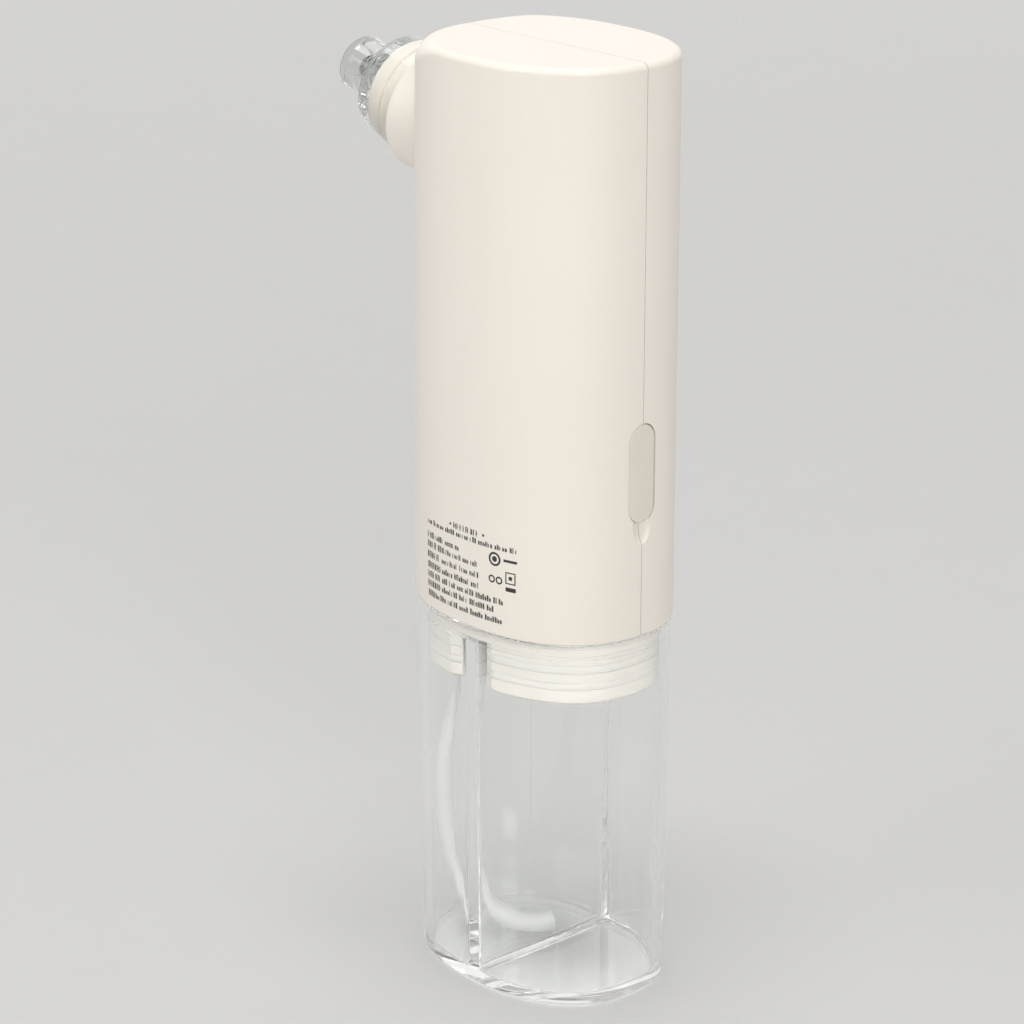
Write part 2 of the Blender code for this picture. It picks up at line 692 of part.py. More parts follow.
def make_boards():
    """Main board on two posts of the button shell."""
    board = add("main_board", box((-10.0, BOARD_Y[0], 138.0), (18.0, BOARD_Y[1], 172.0)),
                "circuit_green")
    holes = [cylinder((x, 7.0, z), (x, 10.0, z), 1.3, 8) for x, z in BOARD_SCREWS]
    combine(board, together(*holes))
    chips = together(box((-4.0, 6.9, 160.0), (1.0, 8.4, 165.0)),
                     box((6.0, 7.1, 164.0), (9.0, 8.4, 168.0)))
    union(board, chips)
    for k, (x, z) in enumerate(BOARD_SCREWS, start=1):
        make_screw(f"board_screw_{k}", (x, BOARD_Y[0] - GAP, z), Vector((0, 1, 0)), 6.0)


def make_screw(name, seat, direction, length, radius=1.0, head=1.9):
    """Pan-head screw; seat is the centre of its head's underside."""
    seat = Vector(seat)
    rings = [(0.9, length), (radius, length - 0.4), (radius, 0.0), (head, 0.0),
             (head, -0.9), (head * 0.75, -1.4)]
    stack = [ring_about(seat + direction * s, direction, r, 10) for r, s in rings]
    screw = add(name, loft(stack), "steel")
    across = direction.orthogonal().normalized()
    thick = direction.cross(across)
    corners = [seat - direction * 1.0 + across * a * 1.2 + thick * b * 0.25
               for a, b in ((-1, -1), (1, -1), (1, 1), (-1, 1))]
    combine(screw, loft([corners, [p - direction * 2.0 for p in corners]]))


def make_chassis():
    """Plate that holds the pump on one face and the battery on the other."""
    chassis = add("inner_chassis", box((-20.0, CHASSIS_Y[0], CHASSIS_Z[0]),
                                       (20.0, CHASSIS_Y[1], CHASSIS_Z[1])), "grey_plastic")
    front = CHASSIS_Y[1] - 0.4
    shelves = [box((-15.0, front, z), (7.0, 1.0, z + 2.0)) for z in (88.0, 104.0)]
    arms = [box((15.0, front, z), (20.0, -3.4, z + 2.0)) for z in (99.0, 110.0)]
    union(chassis, together(*shelves, *arms))
    combine(chassis, cylinder((PUMP_X, PUMP_Y, 82.0), (PUMP_X, PUMP_Y, 110.0),
                              MOTOR_RADIUS + GAP, 24))
    holes = [cylinder((x, -11.0, z), (x, -6.0, z), 1.3, 8) for x, z in CHASSIS_SCREWS]
    combine(chassis, together(*holes))
    for k, (x, z) in enumerate(CHASSIS_SCREWS, start=1):
        make_screw(f"chassis_screw_{k}", (x, CHASSIS_Y[1] + GAP, z), Vector((0, -1, 0)), 6.5)


def make_battery():
    """Flat lithium cell and its lead."""
    cell = add("battery_cell", box((-11.0, -15.3, 92.0), (11.0, -9.6, 124.0)), "battery_foil")
    bevel = cell.modifiers.new("edges", "BEVEL")
    bevel.width = 1.0 * METRES
    bevel.segments = 2
    add("battery_lead", wire(((4.0, -12.3, 124.4), (4.0, -12.3, 130.0), (4.1, -12.3, 137.5),
                              (5.2, -10.6, 142.6), (9.0, -7.9, 145.0), (13.2, -3.6, 147.0),
                              (14.6, 2.0, 148.0), (14.6, 6.9, 148.2))), "wire_red")


def make_motor():
    """Motor can, its shaft and the eccentric crank of the pump."""
    axis = Vector((PUMP_X, PUMP_Y, 0.0))
    up = Vector((0.0, 0.0, 1.0))

    def turn(name, profile, material, sides=24, origin=(0, 0, 0)):
        return add(name, turned(profile, axis, up, sides), material, origin)

    turn("motor_can", (
        (1.3, 86.0), (1.3, MOTOR_TOP + 0.8), (3.0, MOTOR_TOP + 0.8), (3.0, MOTOR_TOP),
        (8.8, MOTOR_TOP), (MOTOR_RADIUS, MOTOR_TOP - 0.7), (MOTOR_RADIUS, MOTOR_BOTTOM + 0.7),
        (8.8, MOTOR_BOTTOM), (1.3, MOTOR_BOTTOM)), "steel")
    shaft = cylinder((PUMP_X, PUMP_Y, 85.0), (PUMP_X, PUMP_Y, 118.2), 1.0, 16)
    add("motor_shaft", shaft, "steel", (PUMP_X, PUMP_Y, 100.0))
    crank = turn("pump_crank", ((1.25, 114.2), (5.6, 114.2), (6.0, 114.6), (6.0, 118.1),
                                (5.6, 118.5), (1.25, 118.5)), "grey_plastic",
                 origin=(PUMP_X, PUMP_Y, 116.0))
    union(crank, cylinder((PUMP_X + 3.2, PUMP_Y, 118.2), (PUMP_X + 3.2, PUMP_Y, 121.4), 1.1, 12))
    add("motor_lead", wire(((-4.0, 8.0, 83.3), (-4.0, 9.4, 81.6), (-3.4, 13.0, 81.8),
                            (-2.0, 15.3, 87.0), (-1.0, 15.8, 100.0), (-1.0, 15.8, 120.0),
                            (-1.0, 15.8, 137.5), (1.0, 14.6, 143.0), (4.2, 10.6, 147.0))),
        "wire_red")


def pump_plate(z_low, z_high, margin=0.0):
    """Square layer of the pump, its corners cut off."""
    half, cut = PUMP_SIDE / 2 - margin, 1.5
    outline = [(half - cut, half), (-half + cut, half), (-half, half - cut), (-half, -half + cut),
               (-half + cut, -half), (half - cut, -half), (half, -half + cut), (half, half - cut)]
    return loft([[Vector((PUMP_X + x, PUMP_Y + y, z)) for x, y in outline]
                 for z in (z_low, z_high)])


def pump_spots():
    """Centres of the three pump chambers round the motor's axis."""
    for k in range(3):
        angle = math.radians(90 + 120 * k)
        yield PUMP_X + 5.3 * math.cos(angle), PUMP_Y + 5.3 * math.sin(angle)


def make_pump():
    """Three-chamber diaphragm pump, layer by layer, with its through screws."""
    spots = list(pump_spots())
    screws = [(PUMP_X + s * SCREW_OFFSET, PUMP_Y + s * SCREW_OFFSET) for s in (-1, 1)]

    housing = add("pump_housing", pump_plate(HOUSING_BOTTOM, HOUSING_TOP), "black_plastic")
    combine(housing, cylinder((PUMP_X, PUMP_Y, HOUSING_BOTTOM + 1.8),
                              (PUMP_X, PUMP_Y, HOUSING_TOP + 1), 8.6, 24))
    combine(housing, cylinder((PUMP_X, PUMP_Y, HOUSING_BOTTOM - 1),
                              (PUMP_X, PUMP_Y, HOUSING_BOTTOM + 2.5), 3.4, 20))

    yoke = add("pump_yoke", cylinder((PUMP_X, PUMP_Y, 121.8), (PUMP_X, PUMP_Y, 123.4), 8.0, 24),
               "grey_plastic")
    combine(yoke, together(*[cylinder((x, y, 120), (x, y, 125), 1.0, 8) for x, y in spots]))

    diaphragm = add("pump_diaphragm", pump_plate(HOUSING_TOP + GAP, HOUSING_TOP + 1.5, 0.2),
                    "white_silicone")
    union(diaphragm, together(*[cylinder((x, y, 123.7), (x, y, HOUSING_TOP + 0.8), 3.0, 12)
                                for x, y in spots]))
    combine(diaphragm, together(*[cylinder((x, y, 124.7), (x, y, 130.0), 2.2, 12)
                                  for x, y in spots]))

    plate = add("pump_valve_plate", pump_plate(128.8, 131.3), "grey_plastic")
    combine(plate, together(*[cylinder((x, y, 128.0), (x, y, 132.0), 1.0, 8)
                              for x, y in spots]))

    cover = add("pump_head_cover", pump_plate(131.6, PUMP_TOP), "black_plastic")
    barbs = (PUMP_INLET, PUMP_OUTLET)
    union(cover, together(*[cylinder((x, y, PUMP_TOP - 1), (x, y, 141.0), 1.7, 12)
                            for x, y in barbs]))
    combine(cover, together(*[cylinder((x, y, 131.0), (x, y, 142.0), 1.0, 8)
                              for x, y in barbs]))

    for layer, low, high in ((housing, 121.0, 128.0), (diaphragm, 126.0, 130.0),
                             (plate, 128.0, 132.0), (cover, 131.0, 137.0)):
        combine(layer, together(*[cylinder((x, y, low), (x, y, high), 1.3, 8)
                                  for x, y in screws]))
    for k, (x, y) in enumerate(screws, start=1):
        make_screw(f"pump_screw_{k}", (x, y, PUMP_TOP + GAP), Vector((0, 0, -1)), 14.0)


def make_hoses():
    """Held silicone hoses between the plug, the pump and the nozzle."""
    def on_axis(station, y=0.0):
        return tuple(NOZZLE_ORIGIN + NOZZLE_AXIS * station + Vector((0.0, y, 0.0)))

    start = STUB_TOP + GAP
    x, y = WATER_PORT
    add("water_hose", hose((
        (x, y, start), (x, y, 95.0), (x, y, 115.0), (x, y, 131.0), (-15.4, -3.0, 140.2),
        (-9.0, -2.8, 144.4), (-3.2, -2.0, 147.6), (-1.8, -1.0, 153.0), (-5.4, -0.2, 157.2),
        on_axis(-14.0), on_axis(-11.0), on_axis(JET_REAR - GAP)), 1.9, 1.0), "white_silicone")
    x, y = WASTE_PORT
    add("waste_hose", hose((
        (x, y, start), (x, y, 95.0), (x, y, 115.0), (x, y, 138.0), (8.2, 3.4, 146.5),
        (2.0, 4.3, 153.6), (-6.0, 4.6, 157.2), on_axis(-12.0, SUCTION_OFFSET),
        on_axis(-4.0, SUCTION_OFFSET), on_axis(3.7, SUCTION_OFFSET)), 2.1, 1.2),
        "white_silicone")
    x, y = AIR_PORT
    add("vacuum_hose", hose((
        (x, y, start), (x, y, 95.0), (x, y, 115.0), (x, y, 138.0), (9.4, -4.3, 144.4),
        (6.6, -4.0, 147.4), (3.6, -3.7, 146.2), (*PUMP_INLET, 143.6), (*PUMP_INLET, 141.4)),
        1.7, 1.0, 3.5),
        "white_silicone")


def clear_scene():
    """Remove whatever the scene holds."""
    for thing in list(bpy.data.objects):
        bpy.data.objects.remove(thing)


def main():
    """Build every piece."""
    clear_scene()
    make_tank()
    make_base_plug()
    make_seals()
    make_air_filter()
    make_suction_tube()
    make_shells()
    make_button()
    make_switch()
    make_nozzle()
    make_port_cover()
    make_charging()
    make_boards()
    make_chassis()
    make_battery()
    make_motor()
    make_pump()
    make_hoses()


main()
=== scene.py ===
"""Visual model of a handheld vacuum pore cleaner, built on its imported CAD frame.

Frame: origin at the centre of the tank's underside, +Z up, -X the nozzle end,
+X the charging end, -Y the printed face, +Y the button face.
Shapes are worked out in millimetres and written to meshes in metres.
"""

import json
import math
import random

import bmesh
import bpy
import numpy as np
from mathutils import Matrix, Vector

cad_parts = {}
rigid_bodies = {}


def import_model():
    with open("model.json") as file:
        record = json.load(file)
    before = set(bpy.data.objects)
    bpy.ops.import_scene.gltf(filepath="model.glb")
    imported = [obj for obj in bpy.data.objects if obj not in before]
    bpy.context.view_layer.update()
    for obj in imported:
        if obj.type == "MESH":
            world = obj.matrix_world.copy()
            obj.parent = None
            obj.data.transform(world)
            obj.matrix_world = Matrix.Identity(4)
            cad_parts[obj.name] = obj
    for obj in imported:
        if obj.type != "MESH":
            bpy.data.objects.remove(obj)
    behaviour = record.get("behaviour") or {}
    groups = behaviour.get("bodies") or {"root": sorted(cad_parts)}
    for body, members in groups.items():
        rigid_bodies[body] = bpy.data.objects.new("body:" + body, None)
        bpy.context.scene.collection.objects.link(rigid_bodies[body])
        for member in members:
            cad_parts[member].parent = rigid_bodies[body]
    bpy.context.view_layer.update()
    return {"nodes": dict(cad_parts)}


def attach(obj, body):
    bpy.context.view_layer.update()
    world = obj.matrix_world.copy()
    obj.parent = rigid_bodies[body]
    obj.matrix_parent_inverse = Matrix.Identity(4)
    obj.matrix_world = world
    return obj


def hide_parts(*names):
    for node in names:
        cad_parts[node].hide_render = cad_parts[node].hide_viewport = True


MM = 0.001

# --- camera ---------------------------------------------------------------------------
CAMERA_AZIMUTH = 47.84
CAMERA_PITCH = 19.54
CAMERA_DISTANCE = 0.64168
CAMERA_LENS = 120.9
CAMERA_SENSOR = 36.0
CAMERA_AIM = (0.0, 0.0, 0.09087)
CAMERA_SIDEWAYS = -0.00586
CAMERA_CLIP = (0.01, 20.0)

# --- dimensions, in millimetres ----------------------------------------------------------
HEIGHT = 180.0
HALF_LENGTH = 26.3
HALF_WIDTH = 20.0
SQUARENESS = 2.31           # power of the oval: 2 is an ellipse
OVAL_STEPS = 192
HALF_STEPS = 72
JOINT_Z = 73.7              # where the body meets the tank
JOINT_FILLET = 0.35
SHELL_WALL = 2.0
HOLLOW_FILLET = 1.5
TOP_FILLET = 1.3
NOZZLE_END_FILLET = 4.8
FILLET_DIRECTION = (-0.95, -0.25)   # the way the upper edge grows, in half lengths and widths
FILLET_START = 0.48
FILLET_SPAN = 0.47
LEAN = 1.9                  # how far the nozzle end leans in at the top
LEAN_START = 95.0
LEAN_POWER = 1.5
LOCK_RIB = (74.7, 75.5)
LOCK_RIB_DEPTH = 1.1
LOCK_CLEARANCE = 0.3
SEAM = 0.14
SLIP_GAP = 0.16             # around a round part in the shells
BEYOND = 40.0               # reach of a cutting box past the body

TANK_TOP = 73.4
TANK_INSET = 0.3
TANK_TAPER = 0.75
TANK_WALL = 1.8
TANK_RIM_WALL = 1.5
TANK_FLOOR = 2.0
PARTITION = 2.2
PARTITION_TOP = 70.2
FOOT_FILLET = 0.8
CHAMBER_CORNER = 1.2
CHAMBER_FOOT = 0.9
TANK_EDGE = 0.12

PLUG_BOTTOM = 61.4
PLUG_TOP = 76.6
PLUG_INSET = 2.5
PLUG_BAND_INSET = 2.35
BAND_LINE = (71.9, 71.98, 72.14, 72.22)     # heights of a shallow line round the plug's band
BAND_LINE_DEPTH = 0.14
SLOT = 3.1
SLOT_TOP = 70.7
PLUG_CORNER = 2.0
GROOVE_DEPTH = 0.8
GROOVE_EDGE = 0.05
GROOVES = ((64.2, 65.6), (67.4, 69.0))
SEAL_GAP = 0.04
SEAL_LIP = 0.06
SEAL_PROUD = 0.02
WATER_PORT = (-17.6, -3.0)
WASTE_PORT = (10.0, 3.0)
AIR_PORT = (10.0, -4.4)
AIR_PORT_RADIUS = 3.2
PORT_BORE = 1.0
SOCKET_BOTTOM = 58.5
SOCKET_RADIUS = 2.8

TUBE_RADIUS = 2.0
TUBE_BORE = 1.25
TUBE_SIDES = 32
TUBE_STEP = 0.8
TUBE_ROUTE = (
    (-17.6, -3.0, 58.2),
    (-17.8, -3.6, 54.0),
    (-18.1, -6.3, 46.5),
    (-17.9, -8.8, 38.5),
    (-17.5, -9.6, 31.0),
    (-16.6, -9.4, 23.0),
    (-14.7, -8.2, 15.5),
    (-11.4, -5.4, 8.8),
    (-7.8, -1.6, 5.2),
    (-5.2, 2.0, 4.3),
    (-3.9, 4.9, 4.3),
)

NOZZLE_ORIGIN = Vector((-24.0, 0.0, 161.7))
NOZZLE_TILT = math.radians(12.75)
NOZZLE_AXIS = Vector((-math.cos(NOZZLE_TILT), 0.0, math.sin(NOZZLE_TILT)))
NECK_RADIUS = 11.8
NECK_FRONT = 6.4
SPIGOT_RADIUS = 9.1
SPIGOT_FRONT = 14.1
HEAD_RADIUS = 10.36
HEAD_REAR = 6.8
HEAD_SHOULDER = 18.3
TIP_RADIUS = 5.3
TIP_END = 28.2
JET_RADIUS = 1.6
SUCTION_OFFSET = 4.6
ROUND_SIDES = 96

BUTTON_X = 13.0
BUTTON_Z = 153.8
BUTTON_RADIUS = 5.0
BUTTON_PROUD = 1.0
BUTTON_BACK_Y = 14.6

PORT_Z = 105.05
PORT_LENGTH = 19.0
PORT_WIDTH = 6.6
PORT_DEPTH_X = 24.95
COVER_MARGIN = 0.14
COVER_SINK = 0.05           # how far the cover's face lies below the body's
SOCKET_Z = 105.8
SOCKET_OPENING = (9.6, 3.9)
SOCKET_OPENING_X = 22.0
COVER_TONGUE = (7.6, 2.3)
COVER_TONGUE_X = 23.9
SCOOP_TOP = PORT_Z - PORT_LENGTH / 2 + 0.6
SCOOP_LENGTH = 4.9
SCOOP_X = 26.9
SCOOP_REACH = (1.7, 2.5)
SCOOP_TAPER = 2.2


# --- outlines --------------------------------------------------------------------------
def outward(x, y):
    """Unit normal of the oval at a point on it."""
    nx = math.copysign(abs(x / HALF_LENGTH) ** (SQUARENESS - 1) / HALF_LENGTH, x)
    ny = math.copysign(abs(y / HALF_WIDTH) ** (SQUARENESS - 1) / HALF_WIDTH, y)
    size = math.hypot(nx, ny)
    return nx / size, ny / size


def oval_frame(angle):
    """Point of the oval and its outward normal at a parameter angle."""
    c, s = math.cos(angle), math.sin(angle)
    power = 2.0 / SQUARENESS
    x = HALF_LENGTH * math.copysign(abs(c) ** power, c)
    y = HALF_WIDTH * math.copysign(abs(s) ** power, s)
    return x, y, *outward(x, y)


def oval_point(angle, inset):
    """Point of the oval, moved inwards along its normal."""
    x, y, nx, ny = oval_frame(angle)
    return x - inset * nx, y - inset * ny


def circle(count):
    """Angles at an even step round a circle."""
    return [2 * math.pi * k / count for k in range(count)]


def oval(inset, z):
    """Whole oval ring at height z."""
    return [Vector((*oval_point(a, inset), z)) for a in circle(OVAL_STEPS)]


def top_fillet(x, y):
    """Radius of the body's upper edge, larger towards the nozzle end."""
    along, across = FILLET_DIRECTION
    reach = along * x / HALF_LENGTH + across * y / HALF_WIDTH
    share = np.clip((reach - FILLET_START) / FILLET_SPAN, 0.0, 1.0)
    return TOP_FILLET + (NOZZLE_END_FILLET - TOP_FILLET) * share ** 2 * (3 - 2 * share)


def lean_in(x, z):
    """Shift along X of the body's nozzle end."""
    rise = np.clip((z - LEAN_START) / (HEIGHT - LEAN_START), 0.0, 1.2) ** LEAN_POWER
    return LEAN * rise * np.clip(-x / HALF_LENGTH, 0.0, 1.0) ** LEAN_POWER


def leaned(point):
    """Place of a point of the upright body once its nozzle end leans in."""
    return Vector((point.x + float(lean_in(point.x, point.z)), point.y, point.z))


def wall_y(x):
    """Reach of the oval along Y at x."""
    share = min(1.0, abs(x) / HALF_LENGTH)
    return HALF_WIDTH * (1 - share ** SQUARENESS) ** (1 / SQUARENESS)


def wall_x(y):
    """Reach of the oval along X at y."""
    share = min(1.0, abs(y) / HALF_WIDTH)
    return HALF_LENGTH * (1 - share ** SQUARENESS) ** (1 / SQUARENESS)


def angle_at(x_wanted, inset):
    """Angle in the first quadrant at which the oval's x equals x_wanted."""
    halvings = 40
    low, high = 0.0, math.pi / 2
    for _ in range(halvings):
        middle = (low + high) / 2
        if oval_point(middle, inset)[0] > x_wanted:
            low = middle
        else:
            high = middle
    return low


def corner_arc(corner, towards_a, towards_b, radius, steps=8):
    """Points that round a corner, from the side of a to the side of b."""
    a = (towards_a - corner).normalized()
    b = (towards_b - corner).normalized()
    half_angle = a.angle(b) / 2
    centre = corner + (a + b).normalized() * radius / math.sin(half_angle)
    start = corner + a * radius / math.tan(half_angle) - centre
    end = corner + b * radius / math.tan(half_angle) - centre
    return [centre + start.slerp(end, k / steps) for k in range(steps + 1)]


def half_oval(side, inset, chord, corner, z):
    """D-shaped ring: the side of the oval beyond x = side * chord, corners rounded."""
    limit = angle_at(chord + 1.4 * corner, inset)
    arc = []
    for k in range(HALF_STEPS + 1):
        arc.append(Vector(oval_point(limit * (2 * k / HALF_STEPS - 1), inset)))
    tangent = (arc[-1] - arc[-2]).normalized()
    upper = arc[-1] + tangent * (chord - arc[-1].x) / tangent.x
    lower = Vector((upper.x, -upper.y))
    ring = arc[1:-1]
    ring += corner_arc(upper, arc[-1], lower, corner)
    ring += corner_arc(lower, upper, arc[0], corner)
    return [Vector((side * p.x, p.y, z)) for p in ring]


def stadium(length, width):
    """Outline of a pill, its long axis along the second coordinate."""
    steps = 24
    radius = width / 2
    straight = length / 2 - radius
    points = []
    for sign in (1, -1):
        for k in range(steps + 1):
            angle = math.pi * k / steps
            points.append((sign * radius * math.cos(angle),
                           sign * (straight + radius * math.sin(angle))))
    return points


def rounded(profile, radius, steps=4):
    """Closed profile of (r, s) points with its corners rounded as far as they allow.

    A point may carry its own radius as a third number."""
    nearly_straight = math.radians(86)
    share_of_side = 0.46
    points = [Vector(p[:2]) for p in profile]
    radii = [p[2] if len(p) > 2 else radius for p in profile]
    result = []
    for k, corner in enumerate(points):
        before, after = points[k - 1], points[(k + 1) % len(points)]
        a, b = before - corner, after - corner
        half_angle = a.angle(b) / 2
        if half_angle > nearly_straight or radii[k] <= 0:
            result.append(tuple(corner))
            continue
        reach = min(radii[k] / math.tan(half_angle), share_of_side * a.length,
                    share_of_side * b.length)
        arc = corner_arc(corner, before, after, reach * math.tan(half_angle), steps)
        result += [tuple(p) for p in arc]
    return result


# --- shapes: each is a pair (points, faces) -----------------------------------------------
def band_faces(first, second, count):
    """Quads between two rings that start at the given point numbers."""
    return [(first + k, first + (k + 1) % count, second + (k + 1) % count, second + k)
            for k in range(count)]


def loft(rings, closed=False):
    """Skin over a stack of rings; closed joins the last ring to the first."""
    count = len(rings[0])
    points = [p for ring in rings for p in ring]
    faces = []
    for k in range(len(rings) - 1):
        faces += band_faces(k * count, (k + 1) * count, count)
    last = (len(rings) - 1) * count
    if closed:
        faces += band_faces(last, 0, count)
    else:
        faces += [tuple(range(count)), tuple(range(last, last + count))]
    return points, faces


def box(low, high):
    """Box between two corners."""
    corners = [(low[0], low[1]), (high[0], low[1]), (high[0], high[1]), (low[0], high[1])]
    return loft([[Vector((x, y, z)) for x, y in corners] for z in (low[2], high[2])])


def ring_about(centre, direction, radius, sides):
    """Circle of points about an axis."""
    turn = direction.to_track_quat("Z", "Y").to_matrix()
    return [centre + turn @ Vector((radius * math.cos(a), radius * math.sin(a), 0.0))
            for a in circle(sides)]


def cylinder(start, end, radius, sides=48):
    """Round bar between two points."""
    start, end = Vector(start), Vector(end)
    return loft([ring_about(p, end - start, radius, sides) for p in (start, end)])


def turned(profile, origin=NOZZLE_ORIGIN, direction=NOZZLE_AXIS, sides=ROUND_SIDES):
    """Body turned from a closed profile of (radius, station) pairs about an axis."""
    return loft([ring_about(origin + direction * s, direction, r, sides) for r, s in profile],
                closed=True)


def pill_bar(length, width, x_from, x_to, z):
    """Pill-shaped bar along X, its long side upright."""
    outline = stadium(length, width)
    return loft([[Vector((x, a, z + b)) for a, b in outline] for x in (x_from, x_to)])


def smooth_path(knots, step):
    """Points at an even step along a smooth curve through the knots, and its length."""
    pieces = 24
    knots = [Vector(p) for p in knots]
    ends = [2 * knots[0] - knots[1], *knots, 2 * knots[-1] - knots[-2]]
    fine = []
    for p0, p1, p2, p3 in zip(ends, ends[1:], ends[2:], ends[3:]):
        for k in range(pieces):
            t = k / pieces
            fine.append(0.5 * ((2 * p1) + (p2 - p0) * t
                               + (2 * p0 - 5 * p1 + 4 * p2 - p3) * t ** 2
                               + (3 * p1 - p0 - 3 * p2 + p3) * t ** 3))
    fine.append(knots[-1])
    lengths = np.concatenate([[0.0], np.cumsum([(b - a).length for a, b in zip(fine, fine[1:])])])
    count = max(2, round(lengths[-1] / step))
    wanted = np.linspace(0.0, lengths[-1], count + 1)
    axes = [np.interp(wanted, lengths, [p[k] for p in fine]) for k in range(3)]
    return [Vector(p) for p in zip(*axes)], float(lengths[-1])


def swept_rings(path, radius, sides):
    """Rings along a path, kept from twisting by carrying one side vector along it."""
    rings = []
    side = Vector((0.0, 1.0, 0.0))
    for k, p in enumerate(path):
        along = (path[min(k + 1, len(path) - 1)] - path[max(k - 1, 0)]).normalized()
        side = (side - along * side.dot(along)).normalized()
        other = along.cross(side)
        rings.append([p + radius * (side * math.cos(a) + other * math.sin(a))
                      for a in circle(sides)])
    return rings


def together(*shapes):
    """Several shapes as one."""
    points, faces = [], []
    for shape_points, shape_faces in shapes:
        start = len(points)
        points += shape_points
        faces += [tuple(start + k for k in face) for face in shape_faces]
    return points, faces


# --- objects ----------------------------------------------------------------------------
SLIVER = 2e-7               # metres
NORMAL_WEIGHT = 90
BEVEL_ANGLE = math.radians(50)


def make(name, shape, sharp=30.0):
    """Object from a shape in millimetres, with outward faces."""
    points, faces = shape
    mesh = bpy.data.meshes.new(name)
    mesh.from_pydata([p * MM for p in points], [], faces)
    work = bmesh.new()
    work.from_mesh(mesh)
    bmesh.ops.recalc_face_normals(work, faces=work.faces)
    work.to_mesh(mesh)
    work.free()
    mesh.shade_smooth()
    mesh.set_sharp_from_angle(angle=math.radians(sharp))
    thing = bpy.data.objects.new(name, mesh)
    bpy.context.scene.collection.objects.link(thing)
    return thing


def carve(thing, shape, operation="DIFFERENCE"):
    """Queue a Boolean on an object."""
    tool = make(f"{thing.name}_tool", shape)
    modifier = thing.modifiers.new("cut", "BOOLEAN")
    modifier.operation = operation
    modifier.solver = "EXACT"
    modifier.object = tool


def replace_mesh(thing):
    """Put the result of an object's modifiers in place of its mesh."""
    graph = bpy.context.evaluated_depsgraph_get()
    mesh = bpy.data.meshes.new_from_object(thing.evaluated_get(graph))
    old = thing.data
    thing.modifiers.clear()
    thing.data = mesh
    bpy.data.meshes.remove(old)
    mesh.name = thing.name


def drop_slivers(mesh):
    """Remove the faces without area that a Boolean can leave."""
    work = bmesh.new()
    work.from_mesh(mesh)
    bmesh.ops.dissolve_degenerate(work, dist=SLIVER, edges=work.edges)
    work.to_mesh(mesh)
    work.free()


def weigh_normals(thing):
    """Normals that follow the large faces, so that small rounded edges don't bend light in
    the walls beside them."""
    weights = thing.modifiers.new("weights", "WEIGHTED_NORMAL")
    weights.mode = "FACE_AREA"
    weights.weight = NORMAL_WEIGHT
    weights.keep_sharp = True
    replace_mesh(thing)


def settle(thing, sharp=30.0, edge=0.0):
    """Apply the queued Booleans, with small rounded edges if edge is given."""
    tools = [m.object for m in thing.modifiers if m.type == "BOOLEAN"]
    if edge:
        bevel = thing.modifiers.new("edges", "BEVEL")
        bevel.width = edge * MM
        bevel.segments = 2
        bevel.limit_method = "ANGLE"
        bevel.angle_limit = BEVEL_ANGLE
        bevel.use_clamp_overlap = True
    replace_mesh(thing)
    for tool in tools:
        bpy.data.objects.remove(tool)
    drop_slivers(thing.data)
    thing.data.shade_smooth()
    thing.data.set_sharp_from_angle(angle=math.radians(sharp))
    weigh_normals(thing)


def finish_piece(thing, body, material, nodes=()):
    """Give a piece its material, its body and the CAD nodes it stands for."""
    if not thing.data.has_custom_normals:
        weigh_normals(thing)
    thing.data.materials.clear()
    thing.data.materials.append(material)
    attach(thing, body)
    if nodes:
        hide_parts(*nodes)


def upright_places(places):
    """Where points of the leaning body stand on the upright one."""
    rounds = 6
    upright = places.copy()
    for _ in range(rounds):
        upright[:, 0] = places[:, 0] - lean_in(upright[:, 0], places[:, 2])
    return upright


def nearest_rows(places, table):
    """Row of the table nearest to each place, worked out in batches to save memory."""
    batch = 400
    nearest = np.zeros(len(places), int)
    for start in range(0, len(places), batch):
        part = places[start:start + batch, None] - table[None]
        nearest[start:start + batch] = (part ** 2).sum(2).argmin(1)
    return nearest


def true_body_normals(thing):
    """Exact normals on the outside of the body, so that openings don't disturb its shading."""
    tolerance, agreement, step = 0.04, 0.93, 0.01
    table = np.array([oval_frame(a) for a in circle(4000)])
    base, sideways = table[:, :2], table[:, 2:]
    mesh = thing.data
    upright = upright_places(np.array([v.co for v in mesh.vertices]) / MM)
    nearest = nearest_rows(upright[:, :2], base)
    depth = np.linalg.norm(upright[:, :2] - base[nearest], axis=1)
    radius = top_fillet(base[nearest, 0], base[nearest, 1])
    lift = np.clip((upright[:, 2] - (HEIGHT - radius)) / radius, 0.0, 1.0)
    level = np.sqrt(1 - lift ** 2)
    exact = np.column_stack([sideways[nearest] * level[:, None], lift])
    x, z = upright[:, 0], upright[:, 2]
    stretch = 1 + (lean_in(x + step, z) - lean_in(x - step, z)) / (2 * step)
    slope = (lean_in(x, z + step) - lean_in(x, z - step)) / (2 * step)
    exact[:, 2] -= slope / stretch * exact[:, 0]
    exact[:, 0] /= stretch
    exact /= np.linalg.norm(exact, axis=1)[:, None]
    allowed = radius * (1 - level) + tolerance
    normals = np.zeros((len(mesh.loops), 3))
    for face in mesh.polygons:
        flat = np.array(face.normal)
        for loop in face.loop_indices:
            v = mesh.loops[loop].vertex_index
            if depth[v] <= allowed[v] and exact[v] @ flat > agreement:
                normals[loop] = exact[v]
    mesh.normals_split_custom_set(normals.tolist())


# --- materials --------------------------------------------------------------------------
NOISE_LOW, NOISE_HIGH = 0.3, 0.7        # most of a noise texture lies between these
GLOSS_SPREAD = 0.035
LEAST_ROUGHNESS = 0.02
GRAIN_DEPTH = 0.00004
COAT_ROUGHNESS = 0.12
SCATTER_RADIUS = (0.0012, 0.0009, 0.0007)
HAZE_SPREAD = (0.6, 1.4)
RIPPLE_DEPTH = 0.0002


